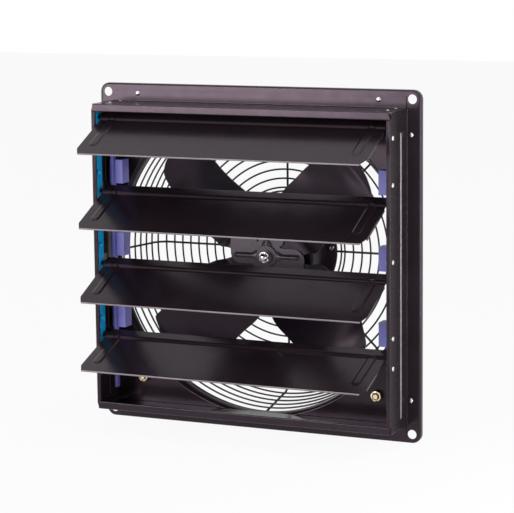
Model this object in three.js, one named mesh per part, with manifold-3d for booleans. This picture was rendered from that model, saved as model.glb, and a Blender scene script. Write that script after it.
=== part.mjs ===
// Shutter exhaust fan, 400 mm class, in millimetres.
// X runs to the right seen from the shutters, Y runs from the shutters to the guard, Z is up.
// The origin is the centre of the wall opening, on the front face of the mounting plate.
import * as THREE from "three";
import { mergeVertices } from "three/addons/utils/BufferGeometryUtils.js";
import Module from "manifold-3d";

const wasm = await Module();
wasm.setup();

// Driving dimensions of the whole fan
const seatGap = 0.3;
const weldTolerance = 1e-4;
const cutOverrun = 5;
const turnedSides = 16;
const smallHoleSides = 8;
const cornerHoleSides = 12;

// Mounting plate: the round mouth sets the size of all that surrounds it
const mouthRadius = 206;
const throatStep = 2.5;
const flareDepth = 11;
const plateMargin = 18;
const plateSheet = 1.2;
const plateCornerRadius = 12;
const rimDepth = 8;
const cornerHoleRadius = 6;
const cornerHoleInset = 11.6;
const mouthSides = 32;
const flareSteps = 3;
const cornerSteps = 4;

// Shutter box
const boxMouthMargin = 1;
const boxHeightDrop = 10;
const boxDepth = 61;
const railSheet = 1;
const railFlangeWidth = 14.5;
const longLipWidth = 10;
const sideLipWidth = 5.5;
const lipReturn = 3;
const lipEndSlant = 3;
const beadDepth = 25;
const beadWidth = 3.6;
const beadHeight = 1.5;
const beadTopDrop = 26;
const beadBottomRise = 12;
const weldRadius = 2;
const weldHeight = 0.8;
const weldInset = 13.7;
const frontWeldDepth = 33;
const rearWeldDepth = 4;
const grooveWidth = 1.4;
const grooveDepth = 0.4;

// Rivets
const rivetShankRadius = 1.9;
const rivetHeadRadius = 3.2;
const rivetHeadHeight = 1.4;
const rivetTailRadius = 2.4;
const rivetTailLength = 4.3;
const flangeRivetTail = 1.6;
const flangeRivetInset = 56;
const longFlangeRivetOffset = 10;
const sideFlangeRivetOffset = 5;
const sideRivetSetback = 9;
const sideRivetRise = 24;
const endRivetDrop = 14;

// Shutters
const shutterCount = 4;
const topPivotDrop = 18.5;
const lastPivotRise = 97.5;
const pivotSetback = 15;
const shutterSideGap = 9;
const shutterFrontGap = 7;
const shutterSheet = 0.9;
const shutterTail = 9;
const shutterRaise = 3;
const creaseStart = 5.5;
const creaseEnd = 8.5;
const shutterLip = 1.7;
const endLip = 3;
const endLipStart = 12;
const shutterCornerAcross = 6;
const shutterCornerAlong = 11;
const openAngle = 25.7;
const lastOpenAngle = 20.5;
const ribWidth = 12;
const ribHeight = 1;
const ribInset = 12;
const ribStart = 7;
const ribFrontInset = 18;
const ribSides = 4;

// Shutter pivots and cranks
const pivotPinRadius = 2.5;
const earThickness = 1.5;
const earRadius = 5;
const crankLength = 18;
const crankDrop = 20;
const crankPinRadius = 2.2;
const crankPinOverhang = 0.6;

// Bearing strips
const stripThickness = 2.5;
const stripWidth = 18.5;
const stripFrontGap = 2;
const stripTopRise = 8;
const stripBottomDrop = 24;

// Link bars
const linkThickness = 4;
const linkWidth = 7;
const linkEarGap = 1.5;
const linkTail = 67;
const blockWidth = 16;
const blockDepth = 18;
const blockHeight = 31;
const blockRise = 14.2;
const blockFlange = 4;
const blockFlangeSetback = 2;
const blockFrontLead = 0.1;

// Fan
const fanTipGap = 17.5;
const fanCentreY = 32;
const fanBladeSheet = 1.5;
const fanBladeCount = 4;
const fanBladeTurn = 45;
const spiderSheet = 2;
const spiderDiscRadius = 24;
const spiderArmReach = 52;
const spiderArmLead = 11;
const spiderArmTrail = 25;
const spiderArmShoulder = 14;
const spiderNotchReach = 18;
const spiderNotchLead = 13;
const spiderRibStart = 18;
const spiderRibEnd = 46;
const spiderRibWidth = 9;
const spiderRibHeight = 2.4;
const hubFlangeRadius = 14.5;
const hubFlangeThickness = 2;
const hubNeckRadius = 10;
const hubNeckLength = 13;
const washerRadius = 8;
const washerThickness = 1.5;

// A blade's stations from root to tip, as shares of the fan's radius: how far along each one lies,
// where its trailing and leading edges are, and how far forward its middle is set
const bladeAlongShares = [
  0.083, 0.14, 0.198, 0.255, 0.3, 0.344, 0.43, 0.538, 0.645,
  0.753, 0.833, 0.887, 0.92, 0.946, 0.968, 0.984, 0.997,
];
const bladeTrailShares = [
  -0.068, -0.126, -0.173, -0.203, -0.235, -0.25, -0.25, -0.24,
  -0.237, -0.242, -0.255, -0.26, -0.257, -0.22, -0.172,
  -0.129, -0.065,
];
const bladeLeadShares = [
  0.054, 0.113, 0.155, 0.19, 0.236, 0.248, 0.256, 0.25, 0.247,
  0.228, 0.199, 0.177, 0.161, 0.142, 0.108, 0.075, 0.027,
];
const bladeForwardShares = [
  0, 0, 0, 0, 0.006, 0.016, 0.036, 0.049, 0.057, 0.067, 0.078, 0.086, 0.089, 0.091, 0.093, 0.094, 0.094,
];
const bladePitchShares = [
  0, 0, 0, 0, 0.16, 0.28, 0.34, 0.36, 0.35, 0.29, 0.21, 0.16, 0.13, 0.11, 0.1, 0.1, 0.1,
];
const bladeCamberShares = [
  0, 0, 0, 0, 0.01, 0.03, 0.05, 0.06, 0.06, 0.06, 0.05, 0.05, 0.04, 0.04, 0.03, 0.03, 0.02,
];
const bladeColumns = 2;

// M8 nuts
const threadRadius = 4;
const nutFlats = 13;
const nutHeight = 6.5;
const nutSides = 6;
const hubNutDome = 5;
const domeSteps = 4;
const studMouthGap = 29.47;
const studOverhang = 1.5;

// Motor
const motorRadius = 57.5;
const motorFrontY = 56;
const motorLength = 38.3;
const motorWall = 3;
const motorCapDepth = 7;
const motorCapWall = 3;
const motorBossRadius = 17;
const motorBossLength = 3;
const motorRearLength = 26;
const motorRearStep = 8;
const motorFlangeMargin = 4;
const motorFlangeThickness = 2;
const shaftRadius = 6;
const shaftTail = 4;
const bearingRadius = 13;
const bearingWidth = 9;
const rotorRadius = 24;
const rotorLength = 26;
const airGap = 0.6;
const statorLength = 24;
const slotCount = 4;
const slotTurn = 45;
const slotWidth = 5;
const mountBoltCount = 4;
const mountBoltTurn = 5;
const mountBoltSetback = 9;
const mountBoltRadius = 2;
const mountBoltHeadRadius = 3.3;
const mountBoltHeadHeight = 3;
const glandRadius = 8;
const glandTipRadius = 6;
const glandBore = 3.5;
const glandLength = 12;
const glandOffset = 26;

// Motor bracket and wire guard
const bracketMargin = 2;
const bracketSheet = 2;
const guardLap = 4;
const guardInnerRing = 9.3;
const guardFirstRing = 14.3;
const guardFootMargin = 5;
const guardTaper = 15.5;
const guardShoulder = 18;
const guardFootY = 6;
const ringPitch = 12.2;
const ringWire = 2.4;
const spokeWire = 3;
const spokeCount = 8;
const ringSides = 24;
const wireSides = 3;
const shoulderSteps = 4;
const footWidth = 10;
const footThickness = 2;
const footPadRadius = 9;

// Places worked out from the sizes above
const throatRadius = mouthRadius - throatStep;
const halfBox = mouthRadius + boxMouthMargin;
const halfBoxHeight = halfBox - boxHeightDrop / 2;
const halfPlate = halfBox + plateMargin;
const cornerHolePlace = halfPlate - cornerHoleInset;
const cornerStudOffset = (mouthRadius + studMouthGap) / Math.SQRT2;
const flangeBackY = -seatGap;
const flangeFrontY = flangeBackY - railSheet;
const flangeRivetSpan = halfPlate - flangeRivetInset;
const longFlangeRivetPlace = halfBoxHeight + longFlangeRivetOffset;
const sideFlangeRivetPlace = halfBox + sideFlangeRivetOffset;
const pivotY = -boxDepth + pivotSetback;
const shutterPitch = (2 * halfBoxHeight - topPivotDrop - lastPivotRise) / (shutterCount - 1);
const shutterReach = shutterPitch - shutterFrontGap;
const ribLength = shutterReach - ribFrontInset - ribStart;
const pivotZ = Array.from(
  { length: shutterCount },
  (_, i) => halfBoxHeight - topPivotDrop - i * shutterPitch,
);
const stripOuterX = halfBox - railSheet - seatGap;
const stripInnerX = stripOuterX - stripThickness;
const halfShutter = halfBox - shutterSideGap;
const crankX = halfShutter - earThickness - linkEarGap;
const fanRadius = throatRadius - fanTipGap;
const motorRearRadius = motorRadius - motorRearStep;
const mountBoltCircle = motorRadius + mountBoltSetback;
const motorFlangeRadius = mountBoltCircle + motorFlangeMargin;
const bracketRadius = motorFlangeRadius + bracketMargin;
const guardInnerRadius = bracketRadius - guardLap;
const guardFootRadius = throatRadius + guardFootMargin;
const guardShoulderRadius = guardFootRadius - guardTaper;
const sideRivetY = -boxDepth + sideRivetSetback;
const sideRivetZ = [
  pivotZ[0] - endRivetDrop,
  ...pivotZ.slice(1).map((z) => z + sideRivetRise),
  pivotZ[shutterCount - 1] - endRivetDrop,
];

const paint = new THREE.Color(0x17131a);
const steel = new THREE.Color(0xb9b6b2);
const blue = new THREE.Color(0x0a7fc4);
const violet = new THREE.Color(0x6a66b4);
const grey = new THREE.Color(0x6c6a70);
const copper = new THREE.Color(0x8a5a3c);

const fan = new THREE.Group();

function material(color, roughness, metalness) {
  return new THREE.MeshStandardMaterial({ color, roughness, metalness });
}

const glossBlack = () => material(paint, 0.28, 0.35);
const brightSteel = () => material(steel, 0.3, 0.9);
const castGrey = () => material(grey, 0.5, 0.6);

// Solids
function solid(geometry) {
  const bare = geometry.index ? geometry.toNonIndexed() : geometry.clone();
  bare.deleteAttribute("normal");
  bare.deleteAttribute("uv");
  const merged = mergeVertices(bare, weldTolerance);
  const corners = merged.index.array;
  const kept = [];
  for (let i = 0; i < corners.length; i += 3) {
    const [a, b, c] = [corners[i], corners[i + 1], corners[i + 2]];
    if (a !== b && b !== c && c !== a) kept.push(a, b, c);
  }
  const mesh = new wasm.Mesh({
    numProp: 3,
    vertProperties: Float32Array.from(merged.attributes.position.array),
    triVerts: Uint32Array.from(kept),
  });
  return new wasm.Manifold(mesh);
}

function geometryOf(body) {
  const mesh = body.getMesh();
  const geometry = new THREE.BufferGeometry();
  geometry.setAttribute("position", new THREE.BufferAttribute(mesh.vertProperties, 3));
  geometry.setIndex(new THREE.BufferAttribute(mesh.triVerts, 1));
  geometry.computeVertexNormals();
  return geometry;
}

function add(name, body, finish) {
  const mesh = new THREE.Mesh(geometryOf(body), finish);
  mesh.name = name;
  fan.add(mesh);
  return mesh;
}

const joined = (bodies) => bodies.reduce((all, body) => all.add(body));
const cut = (body, tools) => tools.reduce((rest, tool) => rest.subtract(tool), body);

// Flat outlines, as lists of [across, up] points
const circle = (across, up, radius, sides) =>
  Array.from({ length: sides }, (_, i) => {
    const turn = i * 2 * Math.PI / sides;
    return [across + radius * Math.cos(turn), up + radius * Math.sin(turn)];
  });

function roundedSquare(half, radius, steps) {
  const points = [];
  for (const [sx, sz, start] of [[1, 1, 0], [-1, 1, 1], [-1, -1, 2], [1, -1, 3]]) {
    for (let i = 0; i <= steps; i += 1) {
      const turn = (start + i / steps) * Math.PI / 2;
      const across = sx * (half - radius) + radius * Math.cos(turn);
      points.push([across, sz * (half - radius) + radius * Math.sin(turn)]);
    }
  }
  return points;
}

function foldedOutline(path, thickness) {
  const unit = (from, to) => {
    const length = Math.hypot(to[0] - from[0], to[1] - from[1]);
    return [(to[0] - from[0]) / length, (to[1] - from[1]) / length];
  };
  const sides = [[], []];
  path.forEach((point, i) => {
    const entering = unit(path[Math.max(i - 1, 0)], path[Math.max(i, 1)]);
    const leaving = unit(path[Math.min(i, path.length - 2)], path[Math.min(i + 1, path.length - 1)]);
    const bend = 1 + entering[0] * leaving[0] + entering[1] * leaving[1];
    const mitre = [-(entering[1] + leaving[1]) / bend, (entering[0] + leaving[0]) / bend];
    sides[0].push([point[0] + mitre[0] * thickness / 2, point[1] + mitre[1] * thickness / 2]);
    sides[1].push([point[0] - mitre[0] * thickness / 2, point[1] - mitre[1] * thickness / 2]);
  });
  return [...sides[0], ...sides[1].reverse()];
}

function extruded(outline, holes, depth) {
  const shape = new THREE.Shape(outline.map(([a, b]) => new THREE.Vector2(a, b)));
  shape.holes = holes.map((hole) => new THREE.Path(hole.map(([a, b]) => new THREE.Vector2(a, b))));
  return new THREE.ExtrudeGeometry(shape, { depth, bevelEnabled: false });
}

// A slab drawn in [x, z] and running from one Y to another
function alongY(outline, fromY, toY, holes = []) {
  const geometry = extruded(outline, holes, toY - fromY);
  return solid(geometry.rotateX(Math.PI / 2).translate(0, toY, 0));
}

// A bar drawn in [y, z] and running from one X to another
function alongX(outline, fromX, toX) {
  const geometry = extruded(outline, [], toX - fromX);
  return solid(geometry.rotateX(Math.PI / 2).rotateZ(Math.PI / 2).translate(fromX, 0, 0));
}

// A bar drawn in [x, y] and running from one Z to another
function alongZ(outline, fromZ, toZ) {
  return solid(extruded(outline, [], toZ - fromZ).translate(0, 0, fromZ));
}

function box(low, high) {
  const size = high.map((value, i) => value - low[i]);
  const middle = high.map((value, i) => (value + low[i]) / 2);
  return solid(new THREE.BoxGeometry(...size).translate(...middle));
}

// A ring or disc about the Y axis, from a closed outline of [radius, y] points
function turned(outline, sides = turnedSides) {
  const area = outline.reduce((sum, [r, y], i) => {
    const [nextR, nextY] = outline[(i + 1) % outline.length];
    return sum + r * nextY - nextR * y;
  }, 0);
  const ordered = area > 0 ? [...outline] : [...outline].reverse();
  const closed = [...ordered, ordered[0]];
  return solid(new THREE.LatheGeometry(closed.map(([r, y]) => new THREE.Vector2(r, y)), sides));
}

const disc = (radius, fromY, toY, sides) =>
  turned([[0, fromY], [radius, fromY], [radius, toY], [0, toY]], sides);
const washerShape = (outer, inner, fromY, toY, sides) =>
  turned([[inner, fromY], [outer, fromY], [outer, toY], [inner, toY]], sides);
const placedY = (body, x, z) => body.translate([x, 0, z]);

// Moves a body made about the Y axis onto the X axis, pointing to the right
const pointedX = (body, y, z) => body.rotate([0, 0, -90]).translate([0, y, z]);
const pinX = (radius, fromX, toX, y, z) => pointedX(disc(radius, fromX, toX, smallHoleSides), y, z);
const mirroredX = (body) => body.mirror([1, 0, 0]);

// Mounting plate with its rolled rim and round mouth
function mountingPlate() {
  const outline = roundedSquare(halfPlate, plateCornerRadius, cornerSteps);
  const inner = roundedSquare(halfPlate - plateSheet, plateCornerRadius - plateSheet, cornerSteps);
  const corners = [[1, 1], [1, -1], [-1, 1], [-1, -1]];
  const rivetHole = rivetShankRadius + seatGap;
  const studHole = threadRadius + seatGap;
  const holes = [circle(0, 0, mouthRadius, mouthSides)];
  for (const [sx, sz] of corners) {
    holes.push(circle(sx * cornerHolePlace, sz * cornerHolePlace, cornerHoleRadius, cornerHoleSides));
    holes.push(circle(sx * cornerStudOffset, sz * cornerStudOffset, studHole, smallHoleSides));
    holes.push(circle(sx * flangeRivetSpan, sz * longFlangeRivetPlace, rivetHole, smallHoleSides));
    holes.push(circle(sx * sideFlangeRivetPlace, sz * flangeRivetSpan, rivetHole, smallHoleSides));
  }
  const flarePath = [[mouthRadius + 2 * plateSheet, plateSheet / 2]];
  for (let i = 0; i <= flareSteps; i += 1) {
    const turn = i / flareSteps * Math.PI / 2;
    const radius = mouthRadius - (mouthRadius - throatRadius) * Math.sin(turn);
    flarePath.push([radius, flareDepth - (flareDepth - plateSheet / 2) * Math.cos(turn)]);
  }
  return joined([
    alongY(outline, 0, plateSheet, holes),
    alongY(outline, 0, rimDepth, [inner]),
    turned(foldedOutline(flarePath, plateSheet), mouthSides),
  ]);
}

// Top rail of the shutter box; the bottom rail is its mirror image
function topRail() {
  const lipZ = halfBoxHeight - longLipWidth + railSheet / 2;
  const wallZ = halfBoxHeight - railSheet / 2;
  const frontY = -boxDepth + railSheet / 2;
  const flangeY = flangeBackY - railSheet / 2;
  const path = [
    [-boxDepth + lipReturn, lipZ],
    [frontY, lipZ],
    [frontY, wallZ],
    [flangeY, wallZ],
    [flangeY, halfBoxHeight + railFlangeWidth],
  ];
  const rail = alongX(foldedOutline(path, railSheet), -halfBox, halfBox);
  const slant = [
    [halfBox, halfBoxHeight - longLipWidth],
    [halfBox + cutOverrun, halfBoxHeight - longLipWidth],
    [halfBox + cutOverrun, halfBoxHeight + cutOverrun],
    [halfBox - lipEndSlant, halfBoxHeight + cutOverrun],
    [halfBox - lipEndSlant, halfBoxHeight],
  ];
  const lipEnd = alongY(slant, -boxDepth - cutOverrun, -boxDepth + lipReturn + railSheet);
  const flangeEnd = box(
    [halfBox - railSheet - seatGap, flangeFrontY - seatGap, halfBoxHeight],
    [halfBox + cutOverrun, cutOverrun, halfBoxHeight + railFlangeWidth + cutOverrun],
  );
  const hole = disc(rivetShankRadius + seatGap, -cutOverrun, cutOverrun, smallHoleSides);
  const holes = [-1, 1].map((side) => placedY(hole, side * flangeRivetSpan, longFlangeRivetPlace));
  const weld = alongZ(circle(0, 0, weldRadius, smallHoleSides), wallZ, halfBoxHeight + weldHeight);
  const welds = [-1, 1].flatMap((side) => [frontWeldDepth, rearWeldDepth].map((depth) =>
    weld.translate([side * (halfBox - weldInset), -depth, 0])));
  return cut(
    joined([rail, ...welds]),
    [lipEnd, mirroredX(lipEnd), flangeEnd, mirroredX(flangeEnd), ...holes],
  );
}

// Right rail of the shutter box; the left rail is its mirror image
function rightRail() {
  const lipX = halfBox - sideLipWidth + railSheet / 2;
  const wallX = halfBox - railSheet / 2;
  const frontY = -boxDepth + railSheet / 2;
  const flangeY = flangeBackY - railSheet / 2;
  const path = [
    [lipX, -boxDepth + lipReturn],
    [lipX, frontY],
    [wallX, frontY],
    [wallX, flangeY],
    [halfBox + railFlangeWidth, flangeY],
  ];
  const halfHeight = halfBoxHeight - railSheet - seatGap;
  const rail = alongZ(foldedOutline(path, railSheet), -halfHeight, halfHeight);
  const bead = alongZ([
    [halfBox - railSheet / 2, -beadDepth - beadWidth / 2],
    [halfBox + beadHeight, -beadDepth - beadWidth / 4],
    [halfBox + beadHeight, -beadDepth + beadWidth / 4],
    [halfBox - railSheet / 2, -beadDepth + beadWidth / 2],
  ], -halfBoxHeight + beadBottomRise, halfBoxHeight - beadTopDrop);
  const lipTop = halfBoxHeight - longLipWidth - seatGap;
  const endCut = box(
    [halfBox - sideLipWidth - cutOverrun, -boxDepth - cutOverrun, lipTop],
    [halfBox + cutOverrun, -boxDepth + lipReturn + 2 * seatGap, halfBoxHeight],
  );
  const groove = box(
    [halfBox - sideLipWidth / 2 - grooveWidth / 2, -boxDepth - cutOverrun, -halfBoxHeight],
    [halfBox - sideLipWidth / 2 + grooveWidth / 2, -boxDepth + grooveDepth, halfBoxHeight],
  );
  const hole = disc(rivetShankRadius + seatGap, -cutOverrun, cutOverrun, smallHoleSides);
  const flangeHoles = [-1, 1].map((side) => placedY(hole, sideFlangeRivetPlace, side * flangeRivetSpan));
  const wallHoles = sideRivetZ.map((z) =>
    pinX(rivetShankRadius + seatGap, stripInnerX, halfBox + cutOverrun, sideRivetY, z));
  const tools = [endCut, endCut.mirror([0, 0, 1]), groove, ...flangeHoles, ...wallHoles];
  return cut(rail.add(bead), tools);
}

// Blue bearing strip inside the right rail
function rightStrip() {
  const frontY = -boxDepth + stripFrontGap;
  const strip = box(
    [stripInnerX, frontY, pivotZ[shutterCount - 1] - stripBottomDrop],
    [stripOuterX, frontY + stripWidth, pivotZ[0] + stripTopRise],
  );
  const fromX = stripInnerX - cutOverrun;
  const toX = stripOuterX + cutOverrun;
  const rivetHoles = sideRivetZ.map((z) => pinX(rivetShankRadius + seatGap, fromX, toX, sideRivetY, z));
  const pivotHoles = pivotZ.map((z) => pinX(pivotPinRadius + seatGap, fromX, toX, pivotY, z));
  return cut(strip, [...rivetHoles, ...pivotHoles]);
}

// A blind rivet about the Y axis: its domed head starts at y = 0 and its tail lies beyond the grip
function rivet(grip, tailLength) {
  const tailStart = grip + seatGap;
  return turned([
    [0, -rivetHeadHeight],
    [rivetHeadRadius / 2, -rivetHeadHeight],
    [rivetHeadRadius, 0],
    [rivetShankRadius, 0],
    [rivetShankRadius, tailStart],
    [rivetTailRadius, tailStart],
    [rivetTailRadius, tailStart + tailLength],
    [0, tailStart + tailLength],
  ], smallHoleSides);
}

function flangeRivets() {
  const body = rivet(-flangeFrontY + plateSheet + seatGap, flangeRivetTail);
  const seated = body.translate([0, flangeFrontY - seatGap, 0]);
  const names = { "1,1": "top_right", "-1,1": "top_left", "1,-1": "bottom_right", "-1,-1": "bottom_left" };
  for (const [key, place] of Object.entries(names)) {
    const [sx, sz] = key.split(",").map(Number);
    add(
      `flange_rivet_${place}`,
      placedY(seated, sx * flangeRivetSpan, sz * longFlangeRivetPlace),
      brightSteel(),
    );
    const side = place.split("_").reverse().join("_");
    add(
      `flange_rivet_${side}`,
      placedY(seated, sx * sideFlangeRivetPlace, sz * flangeRivetSpan),
      brightSteel(),
    );
  }
}

function sideRivets() {
  const grip = halfBox - stripInnerX + seatGap;
  const body = rivet(grip, rivetTailLength).rotate([0, 0, 90]).translate([halfBox + seatGap, 0, 0]);
  sideRivetZ.forEach((z, i) => {
    const right = body.translate([0, sideRivetY, z]);
    add(`side_rivet_right_${i + 1}`, right, brightSteel());
    add(`side_rivet_left_${i + 1}`, mirroredX(right), brightSteel());
  });
}

// Shutter section in [forward, up] from its pivot, turned to its open angle in [y, z]
const toPlace = ([forward, up], angle) => {
  const slope = THREE.MathUtils.degToRad(angle);
  return [
    -forward * Math.cos(slope) - up * Math.sin(slope),
    -forward * Math.sin(slope) + up * Math.cos(slope),
  ];
};
const crankPlace = () => {
  const drop = THREE.MathUtils.degToRad(crankDrop);
  return [crankLength * Math.cos(drop), -crankLength * Math.sin(drop)];
};

function shutter(angle) {
  const section = foldedOutline([
    [-shutterTail, shutterRaise],
    [creaseStart, shutterRaise],
    [creaseEnd, 0],
    [shutterReach, 0],
    [shutterReach + shutterSheet / 2, -shutterLip],
  ], shutterSheet).map((point) => toPlace(point, 0));
  const blade = alongX(section.reverse(), -halfShutter, halfShutter);
  const corner = [
    [halfShutter, -shutterReach + shutterCornerAlong],
    [halfShutter - shutterCornerAcross, -shutterReach - shutterSheet],
    [halfShutter - shutterCornerAcross, -shutterReach - cutOverrun],
    [halfShutter + cutOverrun, -shutterReach - cutOverrun],
    [halfShutter + cutOverrun, -shutterReach + shutterCornerAlong],
  ];
  const cornerCut = alongZ(corner, -shutterLip - cutOverrun, shutterRaise + cutOverrun);
  const ribCentre = halfShutter - ribInset - ribWidth / 2;
  const ribEnds = [-ribStart - ribWidth / 2, -ribStart - ribLength + ribWidth / 2];
  const ribOutline = [0, 1].flatMap((end) =>
    Array.from({ length: ribSides + 1 }, (_, i) => {
      const turn = Math.PI * (i / ribSides + end);
      return [ribCentre + ribWidth / 2 * Math.cos(turn), ribEnds[end] + ribWidth / 2 * Math.sin(turn)];
    }));
  const rib = alongZ(ribOutline, 0, shutterSheet / 2 + ribHeight);
  const crank = crankPlace();
  const slope = THREE.MathUtils.degToRad(angle);
  const crankLocal = [
    crank[0] * Math.cos(slope) + crank[1] * Math.sin(slope),
    -crank[0] * Math.sin(slope) + crank[1] * Math.cos(slope),
  ];
  const ear = earPlate(crankLocal);
  const pivotPin = pinX(pivotPinRadius, halfShutter - earThickness / 2, stripOuterX - seatGap, 0, 0);
  const crankPin = pinX(
    crankPinRadius, crankX - linkThickness - crankPinOverhang, halfShutter - earThickness / 2, ...crankLocal);
  const lip = box(
    [halfShutter - shutterSheet, -shutterReach + shutterCornerAlong, -endLip],
    [halfShutter, -endLipStart, 0],
  );
  const side = joined([rib, lip, ear, pivotPin, crankPin]);
  return cut(joined([blade, side, mirroredX(side)]), [cornerCut, mirroredX(cornerCut)])
    .rotate([angle, 0, 0]);
}

// The ear on a shutter's right end, which joins its pivot pin and its crank pin
function earPlate(crankLocal) {
  const lean = Math.atan2(crankLocal[1], crankLocal[0]);
  const outline = [0, 1].flatMap((end) =>
    Array.from({ length: smallHoleSides / 2 + 1 }, (_, i) => {
      const turn = lean + Math.PI / 2 + Math.PI * (i / (smallHoleSides / 2) + end);
      const centre = end ? crankLocal : [0, 0];
      return [centre[0] + earRadius * Math.cos(turn), centre[1] + earRadius * Math.sin(turn)];
    }));
  return alongX(outline, halfShutter - earThickness, halfShutter);
}

// Violet link bar that joins the right ends of the shutters, with a block between each pair
function rightLinkBar() {
  const crank = crankPlace();
  const barY = pivotY + crank[0];
  const pinZ = pivotZ.map((z) => z + crank[1]);
  const bar = box(
    [crankX - linkThickness, barY - linkWidth / 2, pinZ[shutterCount - 1] - linkTail],
    [crankX, barY + linkWidth / 2, pinZ[0] + linkWidth / 2],
  );
  const blocks = pinZ.slice(1).map((z) => {
    const frontY = barY - blockFrontLead;
    const low = z + blockRise;
    const outerX = crankX + seatGap;
    return joined([
      box([outerX - blockWidth, frontY, low], [outerX, frontY + blockDepth, low + blockHeight]),
      box(
        [outerX - linkThickness, frontY + blockFlangeSetback, low],
        [outerX + blockFlange, frontY + blockDepth, low + blockHeight],
      ),
    ]);
  });
  const holes = pinZ.map((z) =>
    pinX(crankPinRadius + seatGap, crankX - linkThickness - cutOverrun, crankX + cutOverrun, barY, z));
  return cut(joined([bar, ...blocks]), holes);
}

const armTurns = Array.from({ length: fanBladeCount }, (_, i) => i * 360 / fanBladeCount);
const bladeTurns = armTurns.map((turn) => turn + fanBladeTurn);
const turnedAboutY = (body, degrees) => body.rotate([0, -degrees, 0]);

// One blade, drawn with its length along X, as a grid of stations along and columns across
function fanBlade() {
  const rows = bladeAlongShares.length - 1;
  const rootY = fanCentreY + spiderSheet / 2 + seatGap + fanBladeSheet / 2;
  const place = (column, row, side) => {
    const share = column / bladeColumns;
    const trail = bladeTrailShares[row] * fanRadius;
    const chord = bladeLeadShares[row] * fanRadius - trail;
    const across = trail + chord * share;
    const camber = bladeCamberShares[row] * chord * 4 * share * (1 - share);
    const setback = bladePitchShares[row] * across + camber - bladeForwardShares[row] * fanRadius;
    return [bladeAlongShares[row] * fanRadius, rootY + setback + side * fanBladeSheet / 2, across];
  };
  const positions = [];
  const quad = (a, b, c, d) => positions.push(...a, ...b, ...c, ...a, ...c, ...d);
  for (let i = 0; i < bladeColumns; i += 1) {
    for (let j = 0; j < rows; j += 1) {
      quad(place(i, j, 1), place(i + 1, j, 1), place(i + 1, j + 1, 1), place(i, j + 1, 1));
      quad(place(i, j, -1), place(i, j + 1, -1), place(i + 1, j + 1, -1), place(i + 1, j, -1));
    }
    quad(place(i, 0, -1), place(i + 1, 0, -1), place(i + 1, 0, 1), place(i, 0, 1));
    quad(place(i + 1, rows, -1), place(i, rows, -1), place(i, rows, 1), place(i + 1, rows, 1));
  }
  for (let j = 0; j < rows; j += 1) {
    quad(place(0, j + 1, -1), place(0, j, -1), place(0, j, 1), place(0, j + 1, 1));
    quad(place(bladeColumns, j, -1), place(bladeColumns, j + 1, -1), place(bladeColumns, j + 1, 1),
      place(bladeColumns, j, 1));
  }
  const geometry = new THREE.BufferGeometry();
  geometry.setAttribute("position", new THREE.Float32BufferAttribute(positions, 3));
  return solid(geometry);
}

// Pressed spider: a disc with four arms, each with a radial rib and one rounded shoulder
function hubSpider() {
  const frontY = fanCentreY - spiderSheet / 2;
  const backY = fanCentreY + spiderSheet / 2;
  const shoulder = Array.from({ length: cornerSteps + 1 }, (_, i) => {
    const turn = i / cornerSteps * Math.PI / 2;
    return [
      spiderArmReach - spiderArmShoulder + spiderArmShoulder * Math.cos(turn),
      spiderArmLead - spiderArmShoulder + spiderArmShoulder * Math.sin(turn),
    ];
  });
  const arm = alongY([
    [0, 0],
    [spiderNotchLead, -spiderNotchReach],
    [spiderArmTrail, -spiderArmTrail],
    [spiderArmReach, -spiderArmTrail],
    ...shoulder,
    [spiderNotchReach + spiderRibHeight, spiderArmLead],
    [spiderNotchReach, spiderNotchLead],
  ], frontY, backY);
  const rib = alongX([
    [fanCentreY, -spiderRibWidth / 2],
    [fanCentreY, spiderRibWidth / 2],
    [frontY, spiderRibWidth / 2],
    [frontY - spiderRibHeight, spiderRibWidth / 4],
    [frontY - spiderRibHeight, -spiderRibWidth / 4],
    [frontY, -spiderRibWidth / 2],
  ], spiderRibStart, spiderRibEnd);
  const arms = armTurns.map((turn) => turnedAboutY(arm.add(rib), turn));
  const bore = disc(hubNeckRadius + seatGap, frontY - cutOverrun, backY + cutOverrun);
  return cut(joined([disc(spiderDiscRadius, frontY, backY), ...arms]), [bore]);
}

// Pieces on the shaft, from the front
const spiderFrontY = fanCentreY - spiderSheet / 2;
const hubFlangeBackY = spiderFrontY - seatGap;
const hubFlangeFrontY = hubFlangeBackY - hubFlangeThickness;
const washerBackY = hubFlangeFrontY - seatGap;
const washerFrontY = washerBackY - washerThickness;
const hubNutBackY = washerFrontY - seatGap;
const hubBackY = hubFlangeBackY + hubNeckLength;

const shaftBore = shaftRadius + seatGap;
const threadBore = threadRadius + seatGap;

function hubCollar() {
  return turned([
    [threadBore, hubFlangeFrontY],
    [hubFlangeRadius, hubFlangeFrontY],
    [hubFlangeRadius, hubFlangeBackY],
    [hubNeckRadius, hubFlangeBackY],
    [hubNeckRadius, hubBackY],
    [shaftBore, hubBackY],
    [shaftBore, hubFlangeBackY],
    [threadBore, hubFlangeBackY],
  ]);
}

const hexagon = (flats) => circle(0, 0, flats / 2 / Math.cos(Math.PI / nutSides), nutSides);

function hubNut() {
  const hex = alongY(hexagon(nutFlats), hubNutBackY - nutHeight, hubNutBackY);
  const dome = [[0, hubNutBackY - nutHeight]];
  for (let i = 0; i <= domeSteps; i += 1) {
    const turn = i / domeSteps * Math.PI / 2;
    const radius = nutFlats / 2 * Math.cos(turn);
    dome.push([radius, hubNutBackY - nutHeight - hubNutDome * Math.sin(turn)]);
  }
  const bore = disc(threadBore, hubNutBackY - nutHeight, hubNutBackY + cutOverrun);
  return cut(hex.add(turned(dome)), [bore]);
}

function cornerNut(sx, sz) {
  const backY = -seatGap;
  const hex = alongY(hexagon(nutFlats), backY - nutHeight, backY, [circle(0, 0, threadBore, smallHoleSides)]);
  return placedY(hex, sx * cornerStudOffset, sz * cornerStudOffset);
}

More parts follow.
